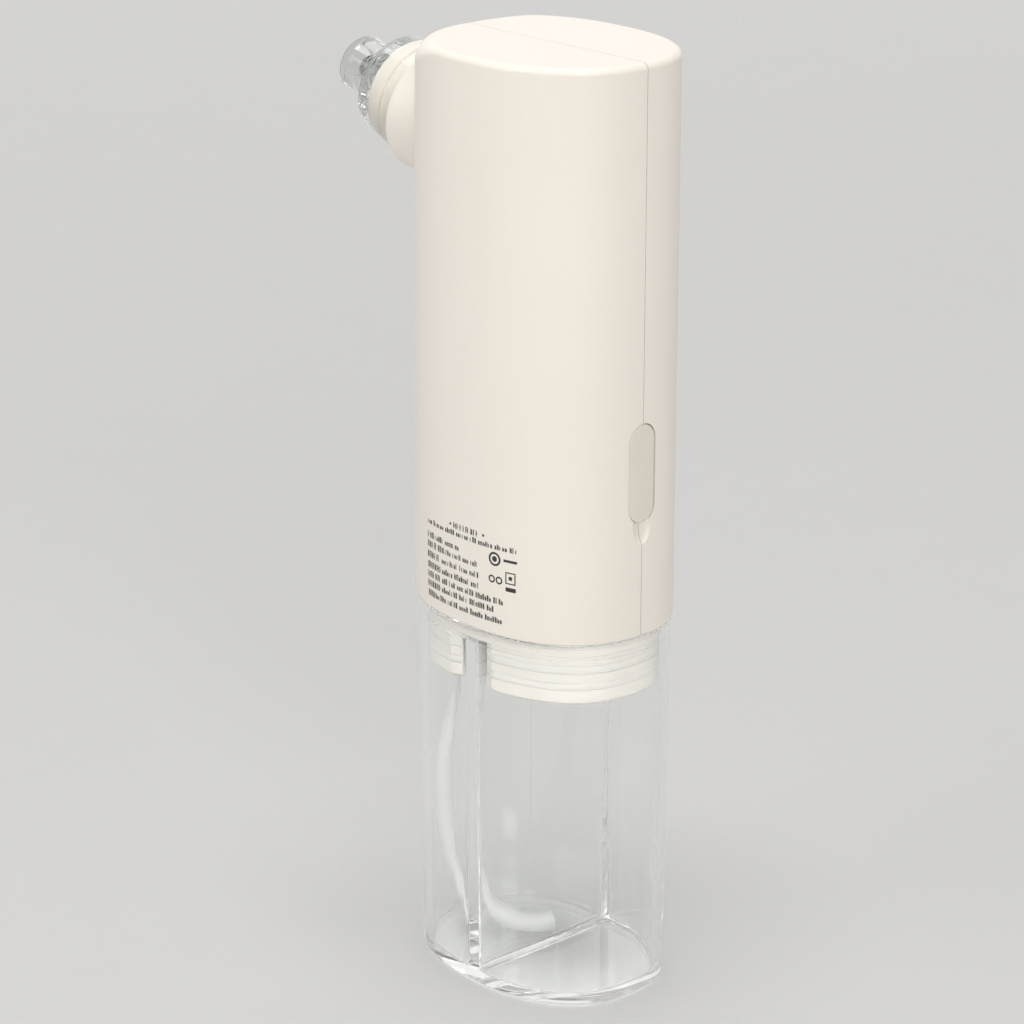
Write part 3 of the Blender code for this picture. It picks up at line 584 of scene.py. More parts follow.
class Nodes:
    """Small helper that builds one material's node tree."""

    def __init__(self, name):
        self.material = bpy.data.materials.new(name)
        self.material.use_nodes = True
        self.tree = self.material.node_tree
        self.shader = self.tree.nodes["Principled BSDF"]
        self.output = self.tree.nodes["Material Output"]

    def node(self, kind, **settings):
        """New node; a setting is an attribute of it or the value of a socket."""
        made = self.tree.nodes.new(kind)
        for key, value in settings.items():
            if hasattr(made, key):
                setattr(made, key, value)
            else:
                made.inputs[key.replace("_", " ").title()].default_value = value
        return made

    def link(self, source, target):
        self.tree.links.new(source, target)

    def place(self):
        """Place on the object, in its own coordinates."""
        return self.node("ShaderNodeTexCoord").outputs["Object"]

    def noise(self, scale, detail=3.0, roughness=0.5, stretch=None):
        """Noise over the object, stretched along its axes if asked."""
        made = self.node("ShaderNodeTexNoise", scale=scale, detail=detail, roughness=roughness)
        place = self.place()
        if stretch:
            mapping = self.node("ShaderNodeMapping")
            mapping.inputs["Scale"].default_value = stretch
            self.link(place, mapping.inputs["Vector"])
            place = mapping.outputs["Vector"]
        self.link(place, made.inputs["Vector"])
        return made.outputs["Fac"]

    def spread(self, source, low, high):
        """Noise brought to the range from low to high."""
        made = self.node("ShaderNodeMapRange")
        made.inputs["From Min"].default_value = NOISE_LOW
        made.inputs["From Max"].default_value = NOISE_HIGH
        made.inputs["To Min"].default_value = low
        made.inputs["To Max"].default_value = high
        self.link(source, made.inputs["Value"])
        return made.outputs["Result"]

    def blend(self, source, first, second):
        """Colour between the first and the second; the numbers are a mix node's colour sockets."""
        made = self.node("ShaderNodeMix", data_type="RGBA")
        made.inputs[6].default_value = (*first, 1.0)
        made.inputs[7].default_value = (*second, 1.0)
        self.link(source, made.inputs[0])
        return made.outputs[2]

    def bump(self, height, distance, strength):
        """Relief on the surface."""
        made = self.node("ShaderNodeBump")
        made.inputs["Strength"].default_value = strength
        made.inputs["Distance"].default_value = distance
        self.link(height, made.inputs["Height"])
        self.link(made.outputs["Normal"], self.shader.inputs["Normal"])


def shade(colour, factor):
    """Colour made lighter or darker."""
    return tuple(min(1.0, c * factor) for c in colour)


def moulded(name, colour, rough, grain=2600.0, bump=0.12, metallic=0.0, specular=0.5,
            subsurface=0.0, vary=0.015, stretch=None, coat=0.0):
    """Opaque surface with fine grain, and slow changes in colour and gloss."""
    n = Nodes(name)
    slow = n.noise(38.0, 4.0)
    n.link(n.blend(n.spread(slow, 0.0, 1.0), shade(colour, 1 - vary), shade(colour, 1 + vary)),
           n.shader.inputs["Base Color"])
    gloss = n.noise(grain / 7, 3.0, 0.6, stretch)
    n.link(n.spread(gloss, max(LEAST_ROUGHNESS, rough - GLOSS_SPREAD), rough + GLOSS_SPREAD),
           n.shader.inputs["Roughness"])
    n.shader.inputs["Metallic"].default_value = metallic
    n.shader.inputs["Specular IOR Level"].default_value = specular
    if coat:
        n.shader.inputs["Coat Weight"].default_value = coat
        n.shader.inputs["Coat Roughness"].default_value = COAT_ROUGHNESS
    if subsurface:
        n.shader.inputs["Subsurface Weight"].default_value = subsurface
        n.shader.inputs["Subsurface Radius"].default_value = SCATTER_RADIUS
        n.shader.inputs["Subsurface Scale"].default_value = 1.0
    n.bump(n.noise(grain, 2.0, 0.5, stretch), GRAIN_DEPTH, bump)
    return n.material


def see_through(name, colour, rough, ior, shadow, wave):
    """Clear surface that lets the lamps' light through."""
    n = Nodes(name)
    slow = n.noise(55.0, 3.0)
    n.link(n.blend(n.spread(slow, 0.0, 1.0), shade(colour, 0.985), shade(colour, 1.01)),
           n.shader.inputs["Base Color"])
    haze = n.noise(420.0, 4.0, 0.65)
    n.link(n.spread(haze, *(rough * share for share in HAZE_SPREAD)),
           n.shader.inputs["Roughness"])
    n.shader.inputs["IOR"].default_value = ior
    n.shader.inputs["Transmission Weight"].default_value = 1.0
    n.bump(n.noise(90.0, 2.0, 0.4, (1.0, 1.0, 0.25)), RIPPLE_DEPTH, wave)
    clear = n.node("ShaderNodeBsdfTransparent")
    clear.inputs["Color"].default_value = (*shadow, 1.0)
    mix = n.node("ShaderNodeMixShader")
    path = n.node("ShaderNodeLightPath")
    n.link(path.outputs["Is Shadow Ray"], mix.inputs[0])
    n.link(n.shader.outputs["BSDF"], mix.inputs[1])
    n.link(clear.outputs["BSDF"], mix.inputs[2])
    n.link(mix.outputs["Shader"], n.output.inputs["Surface"])
    return n.material


def milky(name, colour, rough, cover):
    """Thin-walled translucent silicone: each wall it has hides a share of what is behind."""
    material = moulded(name, colour, rough, 2600.0, 0.06, subsurface=0.2, vary=0.01)
    material.node_tree.nodes["Principled BSDF"].inputs["Alpha"].default_value = cover
    return material


def ink(name):
    """Dark pad-printed ink, thin enough for its edges to vary."""
    return moulded(name, (0.030, 0.028, 0.027), 0.42, 5200.0, 0.2, vary=0.2)


def board_green(name):
    """Solder mask over copper tracks."""
    n = Nodes(name)
    tracks = n.node("ShaderNodeTexBrick", scale=900.0)
    tracks.inputs["Mortar Size"].default_value = 0.16
    tracks.inputs["Color1"].default_value = (0.030, 0.190, 0.075, 1.0)
    tracks.inputs["Color2"].default_value = (0.026, 0.165, 0.065, 1.0)
    tracks.inputs["Mortar"].default_value = (0.060, 0.300, 0.110, 1.0)
    turned_place = n.node("ShaderNodeMapping")
    turned_place.inputs["Rotation"].default_value = (math.pi / 2, 0.0, 0.0)
    n.link(n.place(), turned_place.inputs["Vector"])
    n.link(turned_place.outputs["Vector"], tracks.inputs["Vector"])
    n.link(tracks.outputs["Color"], n.shader.inputs["Base Color"])
    n.link(n.spread(n.noise(300.0), 0.25, 0.4), n.shader.inputs["Roughness"])
    n.bump(tracks.outputs["Fac"], 0.00003, 0.4)
    return n.material


def foam(name):
    """Open-celled filter foam."""
    n = Nodes(name)
    cells = n.node("ShaderNodeTexVoronoi", scale=2600.0)
    n.link(n.place(), cells.inputs["Vector"])
    n.link(n.blend(cells.outputs["Distance"], (0.62, 0.62, 0.60), (0.93, 0.93, 0.91)),
           n.shader.inputs["Base Color"])
    n.link(n.spread(n.noise(700.0), 0.85, 0.98), n.shader.inputs["Roughness"])
    n.bump(cells.outputs["Distance"], 0.0002, 0.7)
    return n.material


def make_materials():
    """Every material, by name."""
    return {
        "ivory": moulded("ivory_abs", (0.845, 0.795, 0.725), 0.40, 2600.0, 0.05,
                         subsurface=0.06, vary=0.008),
        "plug": moulded("plug_abs", (0.875, 0.842, 0.790), 0.34, 2200.0, 0.04, vary=0.01),
        "cover": moulded("cover_silicone", (0.745, 0.695, 0.625), 0.55, 3000.0, 0.10, vary=0.01),
        "tank": see_through("clear_tank_plastic", (0.985, 0.992, 0.989), 0.010, 1.50,
                            (0.965, 0.97, 0.968), wave=0.004),
        "head": see_through("clear_head_plastic", (0.790, 0.806, 0.797), 0.015, 1.52,
                            (0.93, 0.935, 0.935), wave=0.01),
        "tube": milky("translucent_silicone", (0.90, 0.905, 0.905), 0.38, 0.27),
        "seal": moulded("seal_silicone", (0.875, 0.845, 0.795), 0.40, 3200.0, 0.06,
                        subsurface=0.15),
        "ink": ink("print_ink"),
        "grey": moulded("grey_moulding", (0.34, 0.35, 0.36), 0.50, 1800.0, 0.18, vary=0.04),
        "black": moulded("black_moulding", (0.025, 0.025, 0.027), 0.45, 1800.0, 0.20, vary=0.10),
        "board": board_green("solder_mask"),
        "foil": moulded("battery_foil", (0.66, 0.68, 0.71), 0.30, 700.0, 0.55, metallic=0.9,
                        vary=0.03),
        "steel": moulded("plated_steel", (0.60, 0.60, 0.61), 0.26, 2400.0, 0.15, metallic=1.0,
                         vary=0.03, stretch=(1.0, 1.0, 8.0)),
        "lead": moulded("lead_insulation", (0.50, 0.040, 0.032), 0.38, 2400.0, 0.08, vary=0.05,
                        coat=0.2),
        "foam": foam("filter_foam"),
    }


# --- pieces -----------------------------------------------------------------------------
def make_tube(mats):
    """Free silicone tube that hangs from the plug's socket to the chamber's floor."""
    path, length = smooth_path(TUBE_ROUTE, TUBE_STEP)
    outside = swept_rings(path, TUBE_RADIUS, TUBE_SIDES)
    inside = swept_rings(path, TUBE_BORE, TUBE_SIDES)
    tube = make("silicone_suction_tube", loft(outside + inside[::-1], closed=True), 50.0)
    finish_piece(tube, "main_body", mats["tube"], ["suction_tube"])


def body_rings(inset, bottom, top, fillet, steps=10):
    """Rings of the body's outside or hollow, with a rounded upper edge: fillet(x, y) is
    its radius."""
    levels, margin = 10, 0.4
    angles = circle(OVAL_STEPS)
    radii = [float(fillet(*oval_point(a, 0.0))) for a in angles]
    rings = [oval(inset, bottom + (top - max(radii) - margin - bottom) * k / levels)
             for k in range(levels + 1)]
    for k in range(steps + 1):
        turn = math.pi / 2 * k / steps
        rings.append([
            Vector((*oval_point(a, inset + r * (1 - math.cos(turn))),
                    top - r * (1 - math.sin(turn))))
            for a, r in zip(angles, radii)])
    return [[leaned(point) for point in ring] for ring in rings]


def hollow_rings():
    """Inside of the shells, with the rib that locks the base plug."""
    rib = SHELL_WALL + LOCK_RIB_DEPTH
    low, high = LOCK_RIB
    rings = [oval(SHELL_WALL, JOINT_Z - 1)]
    for z, inset in ((low, SHELL_WALL), (low, rib), (high, rib), (high, SHELL_WALL)):
        rings.append(oval(inset, z))
    return rings + body_rings(SHELL_WALL, high + 1, HEIGHT - SHELL_WALL,
                              lambda x, y: HOLLOW_FILLET, 4)


def finger_scoop():
    """Tapered hollow under the port cover for a fingernail."""
    levels, sides, least = 16, 48, 0.004
    reach_x, reach_y = SCOOP_REACH
    rings = []
    for k in range(levels + 1):
        share = k / levels
        z = SCOOP_TOP - SCOOP_LENGTH * share
        size = math.sqrt(max(least, 1.0 - share ** SCOOP_TAPER))
        rings.append([Vector((SCOOP_X + reach_x * size * math.cos(a),
                              reach_y * size * math.sin(a), z)) for a in circle(sides)])
    return loft(rings)


def make_shell(name, side, node, mats):
    """Half of the body; side is -1 for the printed half and +1 for the button half."""
    outside = []
    for k in range(4):
        angle = math.pi / 2 * k / 3
        outside.append(oval(JOINT_FILLET * (1 - math.sin(angle)),
                            JOINT_Z + JOINT_FILLET * (1 - math.cos(angle))))
    outside += body_rings(0.0, JOINT_Z + 1, HEIGHT, top_fillet)
    shell = make(name, loft(outside))
    carve(shell, loft(hollow_rings()))
    low, high = sorted((side * SEAM / 2, -side * BEYOND))
    carve(shell, box((-BEYOND, low, 0.0), (BEYOND, high, HEIGHT + BEYOND / 2)))
    through_wall = NOZZLE_AXIS * 9
    carve(shell, cylinder(NOZZLE_ORIGIN - through_wall, NOZZLE_ORIGIN + through_wall,
                          NECK_RADIUS + SLIP_GAP, ROUND_SIDES))
    carve(shell, pill_bar(PORT_LENGTH, PORT_WIDTH, PORT_DEPTH_X, HALF_LENGTH + 2, PORT_Z))
    carve(shell, pill_bar(*SOCKET_OPENING, SOCKET_OPENING_X, PORT_DEPTH_X + 0.5, SOCKET_Z))
    carve(shell, finger_scoop())
    if side > 0:
        carve(shell, cylinder((BUTTON_X, HALF_WIDTH / 2, BUTTON_Z),
                              (BUTTON_X, HALF_WIDTH + 5, BUTTON_Z), BUTTON_RADIUS + SLIP_GAP, 64))
    settle(shell)
    true_body_normals(shell)
    finish_piece(shell, "main_body", mats["ivory"], [node])


def conformal_cap(outline, depths, surface, back):
    """Cap whose face follows a curved wall: outline(inset) gives (u, v) points, surface(u, v,
    depth) the place on it and back(u, v) the flat rear."""
    rings = [[back(u, v) for u, v in outline(depths[0][0])]]
    for inset, depth in depths:
        rings.append([surface(u, v, depth) for u, v in outline(inset)])
    return loft(rings)


def make_cover(mats):
    """Silicone flap over the charging port, nearly flush with the body."""
    length, width = PORT_LENGTH - 2 * COVER_MARGIN, PORT_WIDTH - 2 * COVER_MARGIN

    def outline(inset):
        return stadium(length - 2 * inset, width - 2 * inset)

    def surface(u, v, depth):
        return Vector((wall_x(u) - depth, u, PORT_Z + v))

    def back(u, v):
        return Vector((PORT_DEPTH_X + 0.3, u, PORT_Z + v))

    depths = [(0.0, 0.42), (0.02, 0.25), (0.10, 0.12), (0.22, 0.06), (0.4, COVER_SINK)]
    depths += [(width / 2 * k / 6, COVER_SINK) for k in range(1, 6)]
    depths.append((width / 2 - 0.04, COVER_SINK))
    cover = make("port_flap", conformal_cap(outline, depths, surface, back), 50.0)
    carve(cover, pill_bar(*COVER_TONGUE, COVER_TONGUE_X, PORT_DEPTH_X + 0.6, SOCKET_Z), "UNION")
    settle(cover, 50.0)
    finish_piece(cover, "port_cover", mats["cover"], ["port_cover"])


def make_button(mats):
    """Round power button, dished a little and curved like the shell."""
    edge, rim, dish = 0.5, 1.3, 0.22

    def outline(inset):
        radius = BUTTON_RADIUS - inset
        return [(radius * math.cos(a), radius * math.sin(a)) for a in circle(ROUND_SIDES)]

    def surface(u, v, depth):
        x = BUTTON_X + u
        return Vector((x, wall_y(x) + BUTTON_PROUD - depth, BUTTON_Z + v))

    def back(u, v):
        return Vector((BUTTON_X + u, BUTTON_BACK_Y, BUTTON_Z + v))

    depths = [(0.0, 0.9)]
    for k in range(6):
        angle = math.pi / 2 * k / 5
        depths.append((edge * (1 - math.cos(angle)), edge * (1 - math.sin(angle))))
    depths += [(0.9, 0.0), (rim, 0.03)]
    for k in range(1, 9):
        share = k / 8
        depths.append((rim + (BUTTON_RADIUS - 1.35) * share, 0.03 + dish * share ** 0.8))
    button = make("round_button", conformal_cap(outline, depths, surface, back), 40.0)
    finish_piece(button, "button", mats["ivory"], ["power_button"])


def tank_inset(z):
    """How far the tank's outside stands inside the body's outline at height z."""
    return TANK_INSET + TANK_TAPER * (1.0 - z / TANK_TOP)


def fillet_steps(radius, steps):
    """(height, extra) pairs that round the foot of a wall."""
    return [(radius * (1 - math.cos(math.pi / 2 * k / steps)),
             radius * (1 - math.sin(math.pi / 2 * k / steps))) for k in range(steps + 1)]


def chamber(side):
    """Hollow of one tank chamber, with a rounded foot."""
    rings = []
    stations = [(TANK_FLOOR + h, e) for h, e in fillet_steps(CHAMBER_FOOT, 6)]
    stations += [(z, 0.0) for z in (12.0, 26.0, 40.0, 55.0, PARTITION_TOP + 0.5)]
    for z, extra in stations:
        rings.append(half_oval(side, tank_inset(z) + TANK_WALL + extra, PARTITION / 2 + extra,
                               CHAMBER_CORNER, z))
    return loft(rings)


def make_tank(mats):
    """Clear tank: one moulding with a wall between clean and waste water."""
    rim = 0.22
    stations = fillet_steps(FOOT_FILLET, 6) + [(z, 0.0) for z in (20.0, 45.0)]
    stations += [(TANK_TOP - rim, 0.0), (TANK_TOP - 0.06, 0.07), (TANK_TOP, rim)]
    tank = make("two_chamber_tank",
                loft([oval(tank_inset(z) + extra, z) for z, extra in stations]))
    for side in (-1, 1):
        carve(tank, chamber(side))
    mouth = [oval(tank_inset(z) + TANK_RIM_WALL + extra, z)
             for z, extra in ((PARTITION_TOP, 0.0), (TANK_TOP - 0.2, 0.0),
                              (TANK_TOP - 0.05, -0.06), (TANK_TOP + 0.01, -rim),
                              (TANK_TOP + 1, -rim))]
    carve(tank, loft(mouth))
    settle(tank, 35.0, TANK_EDGE)
    finish_piece(tank, "tank", mats["tank"], ["clear_tank"])


def plug_half(side):
    """One leg of the base plug, with its two seal grooves."""
    stack = [(PLUG_BOTTOM, 0.5), (PLUG_BOTTOM + 0.1, 0.25), (PLUG_BOTTOM + 0.5, 0.0)]
    for low, high in GROOVES:
        stack += [(low - GROOVE_EDGE, 0.0), (low, GROOVE_EDGE), (low, GROOVE_DEPTH),
                  (high, GROOVE_DEPTH), (high, GROOVE_EDGE), (high + GROOVE_EDGE, 0.0)]
    stack.append((SLOT_TOP + 0.5, 0.0))
    return loft([half_oval(side, PLUG_INSET + extra, SLOT / 2 + extra, PLUG_CORNER, z)
                 for z, extra in stack])


def make_plug(mats):
    """Plug that closes the body and reaches down into both tank chambers."""
    low, high = LOCK_RIB[0] - LOCK_CLEARANCE, LOCK_RIB[1] + LOCK_CLEARANCE
    lock = SHELL_WALL + LOCK_RIB_DEPTH + LOCK_CLEARANCE
    band, line = PLUG_BAND_INSET, PLUG_BAND_INSET + BAND_LINE_DEPTH
    stack = [(SLOT_TOP, band + 0.15), (SLOT_TOP + 0.15, band), (BAND_LINE[0], band),
             (BAND_LINE[1], line), (BAND_LINE[2], line), (BAND_LINE[3], band), (low, band),
             (low, lock), (high, lock), (high, band), (PLUG_TOP, band)]
    plug = make("base_closing_plug", loft([oval(inset, z) for z, inset in stack]))
    for side in (-1, 1):
        carve(plug, plug_half(side), "UNION")
    inside = PLUG_BOTTOM + 1.0
    for port in (WATER_PORT, WASTE_PORT):
        carve(plug, cylinder((*port, SOCKET_BOTTOM), (*port, inside), SOCKET_RADIUS), "UNION")
    for port in (WATER_PORT, WASTE_PORT):
        carve(plug, cylinder((*port, SOCKET_BOTTOM - 1), (*port, inside + 4), PORT_BORE, 32))
    carve(plug, cylinder((*AIR_PORT, PLUG_BOTTOM - 1), (*AIR_PORT, PLUG_BOTTOM + 1.1),
                         AIR_PORT_RADIUS))
    settle(plug, 30.0)
    finish_piece(plug, "main_body", mats["plug"], ["base_plug"])


def make_seals(mats):
    """Silicone seals in the plug's grooves, with a rounded outer lip."""
    for side, place in ((-1, "clean"), (1, "waste")):
        for (low, high), level in zip(GROOVES, ("lower", "upper")):
            low, high = low + SEAL_GAP, high - SEAL_GAP
            middle, half = (low + high) / 2, (high - low) / 2
            stack = []
            for k in range(9):
                angle = math.pi * (k / 8 - 0.5)
                stack.append((middle + half * math.sin(angle),
                              SEAL_LIP - (SEAL_LIP + SEAL_PROUD) * math.cos(angle)))
            stack += [(high, GROOVE_DEPTH - 0.2), (low, GROOVE_DEPTH - 0.2)]
            rings = [half_oval(side, PLUG_INSET + extra, SLOT / 2 + extra, PLUG_CORNER, z)
                     for z, extra in stack]
            seal = make(f"{place}_lip_seal_{level}", loft(rings, closed=True), 50.0)
            finish_piece(seal, "main_body", mats["seal"], [f"{place}_seal_{level}"])


def make_nozzle(mats):
    """Neck, spigot, seal, jet tube and the clear head that pushes on."""
    bore = SPIGOT_RADIUS + 0.12
    neck = rounded([
        (bore, -8.8, 0), (13.4, -8.8), (13.4, -7.2), (NECK_RADIUS, -7.2, 0), (NECK_RADIUS, 5.9, 1.6),
        (10.9, 6.25, 0.6), (10.55, NECK_FRONT, 0.12), (bore, NECK_FRONT, 0.12)], 0.2, 8)
    finish_piece(make("round_neck", turned(neck)), "main_body", mats["ivory"],
                 ["nozzle_neck"])

    hole = JET_RADIUS + 0.2
    spigot = rounded([
        (hole, 8.0), (7.6, 8.0), (7.6, -10.7), (12.4, -10.7), (12.4, -9.1), (SPIGOT_RADIUS, -9.1),
        (SPIGOT_RADIUS, 9.4), (8.0, 9.4), (8.0, 10.9), (8.95, 10.9), (8.95, SPIGOT_FRONT, 0.7),
        (7.3, SPIGOT_FRONT, 0.3), (7.2, 9.6, 0.4), (hole, 9.6)], 0.12, 5)
    collar = make("head_spigot", turned(spigot), 40.0)
    port = NOZZLE_ORIGIN + Vector((0.0, SUCTION_OFFSET, 0.0))
    carve(collar, cylinder(port + NOZZLE_AXIS * 3.0, port + NOZZLE_AXIS * 11.0, 1.3, 32))
    settle(collar, 40.0)
    finish_piece(collar, "main_body", mats["ivory"], ["nozzle_spigot"])

    ring = [(8.67 + 0.63 * math.cos(a), 10.15 + 0.68 * math.sin(a)) for a in circle(16)]
    finish_piece(make("spigot_o_ring", turned(ring), 60.0), "main_body", mats["seal"],
                 ["spigot_seal_ring"])

    jet = rounded([(0.8, -8.0), (JET_RADIUS, -8.0), (JET_RADIUS, 6.0), (2.1, 6.0), (2.1, 7.7),
                   (JET_RADIUS, 7.7), (JET_RADIUS, 25.0, 0.4), (0.8, 25.0, 0.15)], 0.1, 5)
    finish_piece(make("clear_jet_tube", turned(jet, sides=48), 40.0), "main_body", mats["head"],
                 ["water_jet_tube"])

    front = HEAD_SHOULDER - 1.3
    inside = HEAD_RADIUS - 1.0
    tip_bore = TIP_RADIUS - 1.8
    head = rounded([
        (inside, HEAD_REAR, 0.2), (HEAD_RADIUS, HEAD_REAR, 0.35), (HEAD_RADIUS, HEAD_SHOULDER, 1.7),
        (TIP_RADIUS, HEAD_SHOULDER, 0.7), (TIP_RADIUS, TIP_END, 0.95), (tip_bore, TIP_END, 0.6),
        (tip_bore, front, 0.5), (inside, front, 0.9)], 0.3, 8)
    finish_piece(make("clear_suction_head", turned(head), 40.0), "suction_head", mats["head"],
                 ["suction_head"])


# --- print block --------------------------------------------------------------------------
INK_BOTTOM, INK_TOP = -0.02, 0.015      # millimetres off the wall
INK_STEP = 0.8
STROKE, THIN_STROKE = 0.21, 0.18
BAR_TOP, BAR_BOTTOM = 0.02, 0.18
LONE_DOT = 0.03             # hole of a ring that reads as a solid dot
# height, start, end of the solid figures and end of the light ones
PRINT_LINES = (
    (88.3, -11.3, -8.9, -1.1), (86.45, -11.35, -6.6, 4.4), (84.4, -11.35, -6.6, 4.0),
    (82.35, -11.2, -6.5, 4.1), (80.5, -11.2, -6.5, 9.9), (78.7, -11.25, -6.6, 7.7),
    (76.75, -11.1, -8.8, 9.6),
)


def on_face(x, z, lift):
    """Point just off the printed face."""
    y = -wall_y(x)
    nx, ny = outward(x, y)
    return leaned(Vector((x + lift * nx, y + lift * ny, z)))


def patch(outline):
    """Thin pad of ink over an outline of (x, z) points on the printed face."""
    return loft([[on_face(x, z, lift) for x, z in outline] for lift in (INK_BOTTOM, INK_TOP)])


def block(x0, z0, x1, z1):
    """Rectangular pad, split so that it follows the wall."""
    count = max(1, math.ceil((x1 - x0) / INK_STEP))
    xs = [x0 + (x1 - x0) * k / count for k in range(count + 1)]
    return patch([(x, z0) for x in xs] + [(x, z1) for x in reversed(xs)])


def ring_mark(x, z, outer, inner):
    """Ring-shaped pad."""
    rings = []
    for radius, lift in ((outer, INK_BOTTOM), (outer, INK_TOP), (inner, INK_TOP),
                         (inner, INK_BOTTOM)):
        rings.append([on_face(x + radius * math.cos(a), z + radius * math.sin(a), lift)
                      for a in circle(24)])
    return loft(rings, closed=True)


def text_line(dice, x0, x1, z, height, solid):
    """Row of small strokes that reads as a line of print but spells nothing; a solid row has
    taller, wider and denser figures."""
    swell, space, stroke = (1.35, 0.22, STROKE) if solid else (1.0, 0.15, THIN_STROKE)
    least, tall_share, short_by, word_space, half_bar = 0.25, 0.35, 0.3, 0.45, 0.08
    word_lengths = (3, 8)
    pads = []
    x = x0
    word_left = dice.randint(*word_lengths)
    while x < x1 - least:
        wide = min(dice.uniform(0.34, 0.52) * swell, x1 - x)
        low, high = z - height / 2, z + height / 2
        tall = solid or dice.random() < tall_share
        if not tall:
            high -= height * short_by
        kind = dice.randint(0, 3)
        pads.append(block(x, low, x + stroke, high))
        if kind != 0:
            pads.append(block(x + wide - stroke, low, x + wide, high - 0.1 * height * (kind % 2)))
        if kind in (1, 3) or solid:
            middle = (low + high) / 2
            pads.append(block(x + stroke, middle - half_bar, x + wide - stroke,
                              middle + half_bar))
        if kind == 2 or (solid and kind == 1):
            pads.append(block(x + stroke, high - BAR_BOTTOM, x + wide - stroke, high - BAR_TOP))
        x += wide + space
        word_left -= 1
        if word_left == 0:
            x += word_space
            word_left = dice.randint(*word_lengths)
    return pads


def make_print(mats):
    """Block of meaningless print and plain marks on the printed face."""
    dice = random.Random(7)
    pads = [ring_mark(x, 92.45, 0.26, LONE_DOT) for x in (-3.6, 5.3)]
    pads += text_line(dice, -2.7, 4.5, 92.4, 1.15, True)
    pads += text_line(dice, -11.3, 12.9, 90.95, 1.05, False)
    for z, start, turn, end in PRINT_LINES:
        pads += text_line(dice, start, turn, z, 1.25, True)
        pads += text_line(dice, turn + 0.25, end, z, 1.15, False)
    pads += [ring_mark(8.0, 88.55, 1.35, 0.95), ring_mark(8.0, 88.55, 0.55, LONE_DOT),
             block(10.0, 88.45, 12.8, 88.95)]
    pads += [ring_mark(x, 84.6, 0.75, 0.45) for x in (7.35, 9.0)]
    x0, z0, x1, z1 = 10.4, 84.3, 12.5, 86.6
    line, shy = 0.22, 0.24
    pads += [block(x0, z0, x1, z0 + line), block(x0, z1 - line, x1, z1),
             block(x0, z0 + shy, x0 + line, z1 - shy), block(x1 - line, z0 + shy, x1, z1 - shy),
             block(x0 + 0.7, z0 + 0.8, x1 - 0.7, z1 - 0.8), block(10.45, 82.85, 12.55, 83.65)]
    marks = make("print_block", together(*pads))
    finish_piece(marks, "main_body", mats["ink"])


# --- carried-over CAD nodes ------------------------------------------------------------------
NODE_LOOKS = {
    "grey": ("inner_chassis", "pump_crank", "pump_yoke", "pump_valve_plate"),
    "black": ("tact_switch", "pump_housing", "pump_head_cover"),
    "board": ("charge_board", "main_board"),
    "foil": ("battery_cell",),
    "steel": ("switch_plunger", "usb_socket", "motor_can", "motor_shaft", "chassis_screw_1",
              "chassis_screw_2", "chassis_screw_3", "chassis_screw_4", "board_screw_1",
              "board_screw_2", "pump_screw_1", "pump_screw_2"),
    "lead": ("charge_lead", "battery_lead", "motor_lead"),
    "seal": ("water_hose", "waste_hose", "vacuum_hose", "pump_diaphragm"),
    "foam": ("air_filter",),
}


def dress_nodes(nodes, mats):
    """Better materials for the CAD nodes that stay as they are."""
    for look, names in NODE_LOOKS.items():
        for name in names:
            for slot in nodes[name].material_slots:
                slot.material = mats[look]


# --- stage ----------------------------------------------------------------------------------
# name, kind, azimuth and elevation in degrees, distance in metres, size in metres or the
# sun's spread in degrees, power in watts or the sun's strength, colour
LIGHTS = (
    ("front_box", "AREA", 62.0, 22.0, 1.3, 0.55, 5.9, (1.0, 0.985, 0.96)),
    ("left_box", "AREA", -18.0, 25.0, 1.3, 0.8, 4.0, (1.0, 0.99, 0.975)),
    ("top_box", "SUN", 40.0, 84.0, 1.2, 30.0, 1.6, (1.0, 0.99, 0.98)),
    ("back_box", "AREA", 228.0, 20.0, 1.5, 2.4, 9.0, (1.0, 0.995, 0.99)),
)
LIGHT_AIM = Vector((0.0, 0.0, 0.09))
WORLD_STRENGTH = 0.43
WORLD_COLOUR = (1.0, 0.995, 0.985)
FLOOR_COLOUR = (0.53, 0.53, 0.526)
FLOOR_REACH = 6.0
FLOOR_DROP = 0.0002
BOUNCES = 128               # light runs far along the clear walls before it leaves them
TRANSPARENT_BOUNCES = 32


def bearing(azimuth, elevation):
    """Unit vector towards a place round the object; both angles in degrees."""
    a, e = math.radians(azimuth), math.radians(elevation)
    return Vector((math.sin(a) * math.cos(e), -math.cos(a) * math.cos(e), math.sin(e)))


def make_camera():
    """Camera for the main view, without roll."""
    azimuth = math.radians(CAMERA_AZIMUTH)
    back = bearing(CAMERA_AZIMUTH, CAMERA_PITCH)
    right = Vector((math.cos(azimuth), math.sin(azimuth), 0.0))
    data = bpy.data.cameras.new("camera")
    data.lens = CAMERA_LENS
    data.sensor_width = CAMERA_SENSOR
    data.clip_start, data.clip_end = CAMERA_CLIP
    camera = bpy.data.objects.new("camera", data)
    turn = Matrix((right, back.cross(right), back)).transposed()
    place = Vector(CAMERA_AIM) + back * CAMERA_DISTANCE + right * CAMERA_SIDEWAYS
    camera.matrix_world = Matrix.Translation(place) @ turn.to_4x4()
    bpy.context.scene.collection.objects.link(camera)
    bpy.context.scene.camera = camera


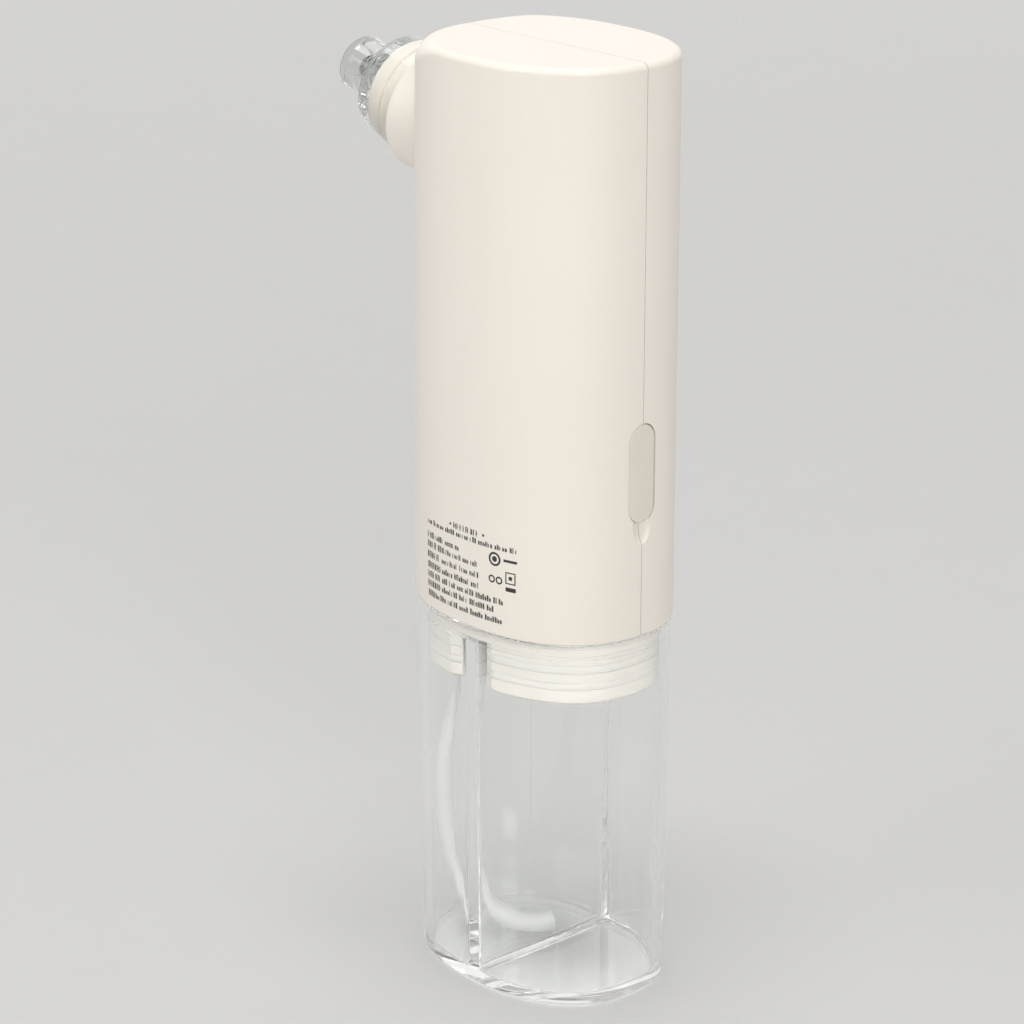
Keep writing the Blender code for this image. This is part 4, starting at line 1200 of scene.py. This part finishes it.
def make_floor():
    """Pale floor, just under the tank."""
    mesh = bpy.data.meshes.new("floor")
    mesh.from_pydata([(FLOOR_REACH * x, FLOOR_REACH * y, 0)
                      for x, y in ((-1, -1), (1, -1), (1, 1), (-1, 1))], [], [(0, 1, 2, 3)])
    mesh.materials.append(moulded("floor_paper", FLOOR_COLOUR, 0.8, 900.0, 0.02,
                                  specular=0.2, vary=0.004))
    floor = bpy.data.objects.new("floor", mesh)
    floor.location.z = -FLOOR_DROP
    bpy.context.scene.collection.objects.link(floor)


def make_lights():
    """Soft lights that don't show themselves."""
    for name, kind, azimuth, elevation, distance, size, power, colour in LIGHTS:
        data = bpy.data.lights.new(name, kind)
        if kind == "SUN":
            data.angle = math.radians(size)
        else:
            data.shape = "SQUARE"
            data.size = size
        data.energy = power
        data.color = colour
        lamp = bpy.data.objects.new(name, data)
        lamp.visible_camera = False
        towards = bearing(azimuth, elevation)
        lamp.location = LIGHT_AIM + towards * distance
        lamp.rotation_euler = towards.to_track_quat("Z", "Y").to_euler()
        bpy.context.scene.collection.objects.link(lamp)


def make_surroundings():
    """Even light from all round, plain tones and enough light bounces for the clear parts."""
    scene = bpy.context.scene
    world = bpy.data.worlds.new("surroundings")
    world.use_nodes = True
    sky = world.node_tree.nodes["Background"]
    sky.inputs["Color"].default_value = (*WORLD_COLOUR, 1.0)
    sky.inputs["Strength"].default_value = WORLD_STRENGTH
    scene.world = world
    scene.view_settings.view_transform = "Standard"
    scene.view_settings.look = "None"
    scene.cycles.max_bounces = BOUNCES
    scene.cycles.glossy_bounces = BOUNCES
    scene.cycles.transmission_bounces = BOUNCES
    scene.cycles.transparent_max_bounces = TRANSPARENT_BOUNCES


for leftover in list(bpy.data.objects):
    bpy.data.objects.remove(leftover)
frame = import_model()
make_camera()
looks = make_materials()
make_tube(looks)
make_tank(looks)
make_plug(looks)
make_seals(looks)
make_shell("printed_half_shell", -1, "printed_shell", looks)
make_shell("button_half_shell", 1, "button_shell", looks)
make_cover(looks)
make_button(looks)
make_nozzle(looks)
make_print(looks)
dress_nodes(frame["nodes"], looks)
make_floor()
make_lights()
make_surroundings()
